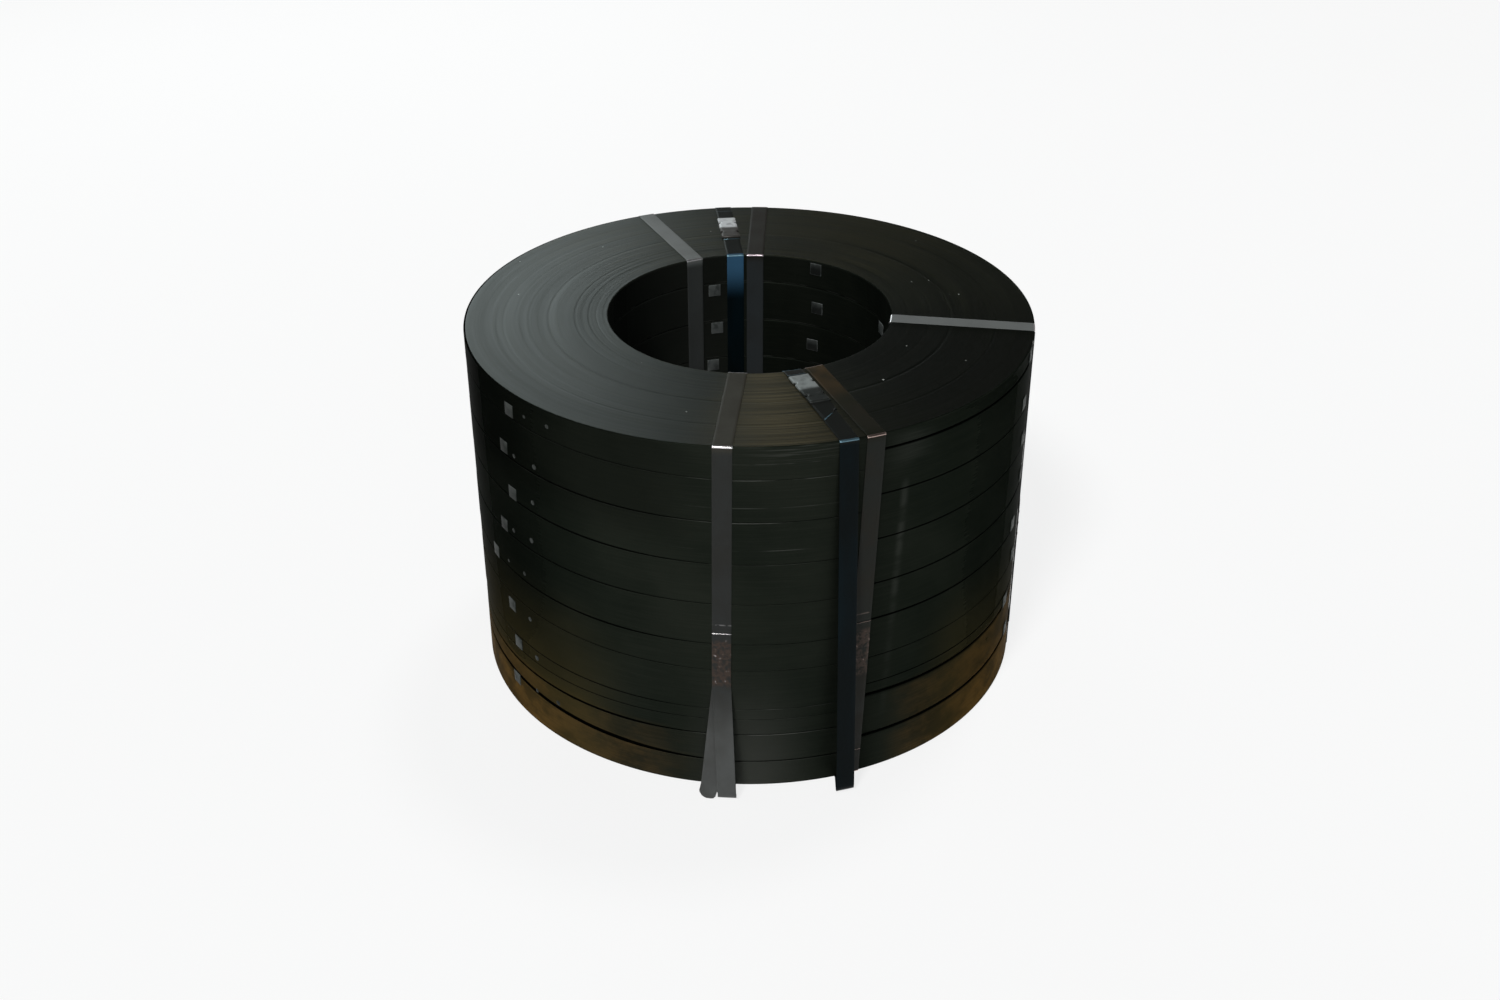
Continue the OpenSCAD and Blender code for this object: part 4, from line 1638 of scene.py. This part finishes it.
@dataclass
class LapTabs:
    """Small square tabs in columns on both walls, and the weld dots beside the outer ones.

    Columns, turns and the first number of a dot are in degrees. A tab's points lie at shares of half its
    side, and a shade value says how much painted shade its face gets, which leaves a bright rim as a painted
    highlight.
    """

    coil: StripCoil
    fit: float = 0.15
    thick: float = 0.5
    side: float = 14.0
    inset: float = 1.5
    shares: tuple[float, ...] = (-1.0, -0.97, -0.88, 0.0, 0.88, 0.97, 1.0)
    round_from: float = 0.88
    rim_from: float = 0.9
    upper_from: float = 0.1
    upper_shade_cut: float = 0.5
    layer_first: float = 32.0
    wall_first: float = 19.0
    left: float = -145.0
    left_turns: tuple[float, ...] = (4.0, 1.0, 3.0, -1.5, -7.0, -1.0, 0.5, -1.5)
    right: float = -19.0
    right_turns: tuple[float, ...] = (2.0, -1.0, 1.0, 3.0, -2.0, 1.0, -3.0, 0.0)
    rises: tuple[float, ...] = (3.5, 3.5, 2.0, 1.5, 1.5, -2.0, 1.0, -4.0)
    left_shade: tuple[float, ...] = (0.70, 0.95, 0.80, 0.90, 0.70, 0.60, 0.25, 0.35)
    right_shade: float = 0.2
    dots: tuple[tuple[Span, ...], ...] = (
        ((11.2, 3.8), (4.9, 2.5)), ((9.8, -2.0), (3.5, -3.2)), ((6.6, 4.0),), ((9.8, 4.7), (3.6, 1.2)),
        ((12.0, 3.9), (5.9, 3.3)), ((6.7, 0.2),), ((6.6, -1.2),), ((14.6, 9.3), (7.8, 6.4)),
    )
    dot_radii: Span = (3.2, 2.6)
    dot_rise: float = 0.55
    dot_sink: float = 0.25
    bore_columns: tuple[float, ...] = (105.5, 16.0)
    bore_middle: float = 60.0
    bore_turns: tuple[float, ...] = (0.0, -1.0, 1.0, 0.0, -1.0, 1.0, -1.0, 0.5)
    bore_shade: float = 0.15
    middle_shade: float = 0.9
    outside_steel: ZincSheet = ZincSheet(
        "tab_steel", (0.078, 0.085, 0.080), (0.036, 0.040, 0.037), dark=(0.008, 0.010, 0.008),
        rough=0.42, gloss=0.03,
    )
    bore_steel: ZincSheet = ZincSheet(
        "bore_tab_steel", (0.118, 0.128, 0.124), (0.055, 0.060, 0.058), dark=(0.004, 0.005, 0.004),
        rough=0.38,
    )
    dot_steel: ZincSheet = ZincSheet(
        "dot_steel", (0.040, 0.044, 0.041), (0.020, 0.022, 0.020), rough=0.42, gloss=0.03,
    )

    def tab(self, r: float, z: float, angle: float, facing: float, dull: float) -> Shell:
        """A square plate bent to the wall, whose outer face rounds off towards its edges.

        Args:
            r: Radius of the face that lies on the wall.
            z: Height of its middle.
            angle: Direction of its middle, in degrees.
            facing: 1 where it stands out from the axis, -1 where it faces it.
            dull: How much painted shade its middle gets.

        Returns:
            The plate.
        """
        u = np.array(self.shares)
        v, w = np.meshgrid(u, u, indexing="ij")
        edge = np.maximum(np.abs(v), np.abs(w))
        fall = np.clip((edge - self.round_from) / (1.0 - self.round_from), 0.0, 1.0)
        rise = self.thick * np.sqrt(np.clip(1.0 - fall ** 2, 0.0, None))
        half = self.side / 2.0
        face = np.stack([v * half, w * half, rise], axis=-1).reshape(-1, 3)
        back = np.stack([v * half, w * half, 0.0 * rise], axis=-1).reshape(-1, 3)
        plate = np.concatenate([face, back])
        turn = plate[:, 0] / r
        out = r + facing * plate[:, 2]
        points = turned(out * np.cos(turn), out * np.sin(turn), z + plate[:, 1], angle) * MM
        quads = grid_quads(len(u), len(u), False, False)
        spots = np.arange(u.size ** 2).reshape(u.size, u.size)
        ring = np.concatenate([spots[0, :-1], spots[:-1, -1], spots[-1, :0:-1], spots[:0:-1, 0]])
        after = np.roll(ring, -1)
        sides = np.stack([ring, after, after + spots.size, ring + spots.size], axis=-1)
        faces = np.concatenate([quads, quads[:, ::-1] + spots.size, sides[:, ::-1]])
        # Painted shade: the face is darkened below its top rim when it faces out, inside its rim when it
        # faces in, and less in its upper half.
        middle = (w if facing > 0.0 else edge) < self.rim_from
        mark = dull * middle * (1.0 - self.upper_shade_cut * (w > self.upper_from))
        return Shell(points, faces, marks={"bend": np.tile(mark.reshape(-1), 2)}).outward()

    def line_z(self, first: float, k: int) -> float:
        """Height of a lap line."""
        return self.coil.height - first - k * self.coil.lap_pitch

    def left_column(self, up: float) -> tuple[list[Shell], list[Shell]]:
        """Builds the tabs on the left of the outermost layer, each with one or two weld dots.

        Args:
            up: Height of a tab's middle above its lap line.

        Returns:
            The tabs and the dots.
        """
        r = self.coil.outer + self.coil.layer
        tabs, dots = [], []
        for k, (turn, rise, dull) in enumerate(zip(self.left_turns, self.rises, self.left_shade)):
            angle, z = self.left + turn, self.line_z(self.layer_first, k) + up + rise
            tabs.append(self.tab(r + self.fit, z, angle, 1.0, dull))
            for radius, (step, drop) in zip(self.dot_radii, self.dots[k]):
                dots.append(dome(r - self.dot_sink, 0.0, z + drop, angle + step, radius, self.dot_rise))
        return tabs, dots

    def right_column(self, up: float) -> list[Shell]:
        """Builds the tabs on the right of the outer wall.

        Args:
            up: Height of a tab's middle above its lap line.

        Returns:
            The tabs.
        """
        tabs = []
        for k, turn in enumerate(self.right_turns):
            z = self.line_z(self.wall_first, k) + up
            tabs.append(self.tab(self.coil.outer + self.fit, z, self.right + turn, 1.0, self.right_shade))
        return tabs

    def bore_tabs(self, up: float) -> list[Shell]:
        """Builds the tabs in the bore: two columns under the lap lines, and one in the middle of the laps.

        Args:
            up: Depth of a tab's middle below its lap line.

        Returns:
            The tabs.
        """
        r = self.coil.bore - self.fit
        tabs = []
        for k, turn in enumerate(self.bore_turns):
            z = self.line_z(self.coil.bore_first, k)
            for column in self.bore_columns:
                tabs.append(self.tab(r, z - up, column + turn, -1.0, self.bore_shade))
            z = z + self.coil.lap_pitch / 2.0
            tabs.append(self.tab(r, z, self.bore_middle + turn, -1.0, self.middle_shade))
        return tabs

    def build(self) -> None:
        """Builds the tabs of both walls, and the dots."""
        up = self.inset + self.side / 2.0
        left, dots = self.left_column(up)
        nodes = (
            ("outside_lap_tabs", left + self.right_column(up), self.outside_steel),
            ("bore_lap_tabs", self.bore_tabs(up), self.bore_steel),
        )
        for node, shells, steel in nodes:
            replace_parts(Shell.join(shells).piece(f"{node}_plates", [steel.material()], Slot.TAB), node)
        Shell.join(dots).piece("lap_weld_dots", [self.dot_steel.material()], Slot.TAB)


@dataclass(frozen=True)
class Sun:
    """Soft parallel light that comes from a direction, in degrees, and may show in gloss or not."""

    name: str
    azimuth: float
    elevation: float
    strength: float
    mirrored: bool
    spread: float = 12.0

    def build(self) -> None:
        """Adds the lamp."""
        data = bpy.data.lights.new(self.name, "SUN")
        data.energy = self.strength
        data.angle = math.radians(self.spread)
        lamp = placed(self.name, data)
        lamp.visible_glossy = self.mirrored
        tilt = math.pi / 2.0 - math.radians(self.elevation)
        lamp.rotation_euler = (tilt, 0.0, math.radians(self.azimuth + 90.0))


@dataclass(frozen=True)
class Panel:
    """A soft rectangular lamp at a place, turned towards an aim, in metres and watts."""

    name: str
    place: Place
    aim: Place
    power: float
    size: Span = (1.9, 1.1)
    tint: Colour = (0.87, 1.0, 1.0)

    def build(self) -> None:
        """Adds the lamp."""
        data = bpy.data.lights.new(self.name, "AREA")
        data.shape = "RECTANGLE"
        data.size, data.size_y = self.size
        data.energy = self.power
        data.color = self.tint
        lamp = placed(self.name, data)
        lamp.location = self.place
        dx, dy, dz = (a - p for a, p in zip(self.aim, self.place))
        tilt = math.atan2(math.hypot(dx, dy), -dz)
        lamp.rotation_euler = (tilt, 0.0, math.atan2(dy, dx) - math.pi / 2.0)
        lamp.visible_camera = False


@dataclass(frozen=True)
class Studio:
    """Camera, lamps, world and floor."""

    distance: float = 1.9037
    elevation: float = 29.887
    aim: float = 0.1975
    lens: float = 40.787
    sensor: float = 36.0
    shift: Span = (0.0003, -0.01937)
    glow: float = 0.02
    lamps: tuple[Union[Sun, Panel], ...] = (
        Sun("key_lamp", -115.0, 50.0, 1.95, True),
        Sun("back_lamp", 60.0, 66.0, 0.72, False),
        Panel("side_panel", (-1.25, 2.9, 1.75), (0.0, 0.0, 0.4), 19.0),
        Panel("front_panel", (0.7, -3.1, 1.9), (0.0, 0.0, 0.3), 13.0),
        Panel("right_panel", (3.2, 0.4, 1.75), (0.0, 0.0, 0.3), 8.0),
        Panel("left_panel", (-3.2, -0.3, 1.75), (0.0, 0.0, 0.3), 8.0),
    )
    floor: Floor = Floor()

    def camera(self) -> None:
        """Puts the camera in front of the coil and above it, aimed at the middle of its axis."""
        data = bpy.data.cameras.new("camera")
        data.lens = self.lens
        data.sensor_width = self.sensor
        data.shift_x, data.shift_y = self.shift
        camera = placed("camera", data)
        rise = math.radians(self.elevation)
        camera.location = (0.0, -self.distance * math.cos(rise), self.aim + self.distance * math.sin(rise))
        camera.rotation_euler = (math.pi / 2.0 - rise, 0.0, 0.0)
        bpy.context.scene.camera = camera

    def build(self) -> None:
        """Sets the view, the lamps, the world and the floor."""
        scene = bpy.context.scene
        scene.view_settings.view_transform = "Standard"
        self.camera()
        for lamp in self.lamps:
            lamp.build()
        world = bpy.data.worlds.new("world")
        world.use_nodes = True
        background = world.node_tree.nodes["Background"]
        background.inputs["Color"].default_value = (1.0, 1.0, 1.0, 1.0)
        background.inputs["Strength"].default_value = self.glow
        scene.world = world
        self.floor.lay()
        self.floor.surround()


def main() -> None:
    """Builds the studio and every piece."""
    logging.basicConfig(level=logging.INFO, format="%(message)s")
    Studio().build()
    coil = StripCoil()
    coil.build()
    ties = Ties(coil)
    ties.build()
    Seal(ties).build()
    LapTabs(coil).build()


if __name__ == "__main__":
    main()
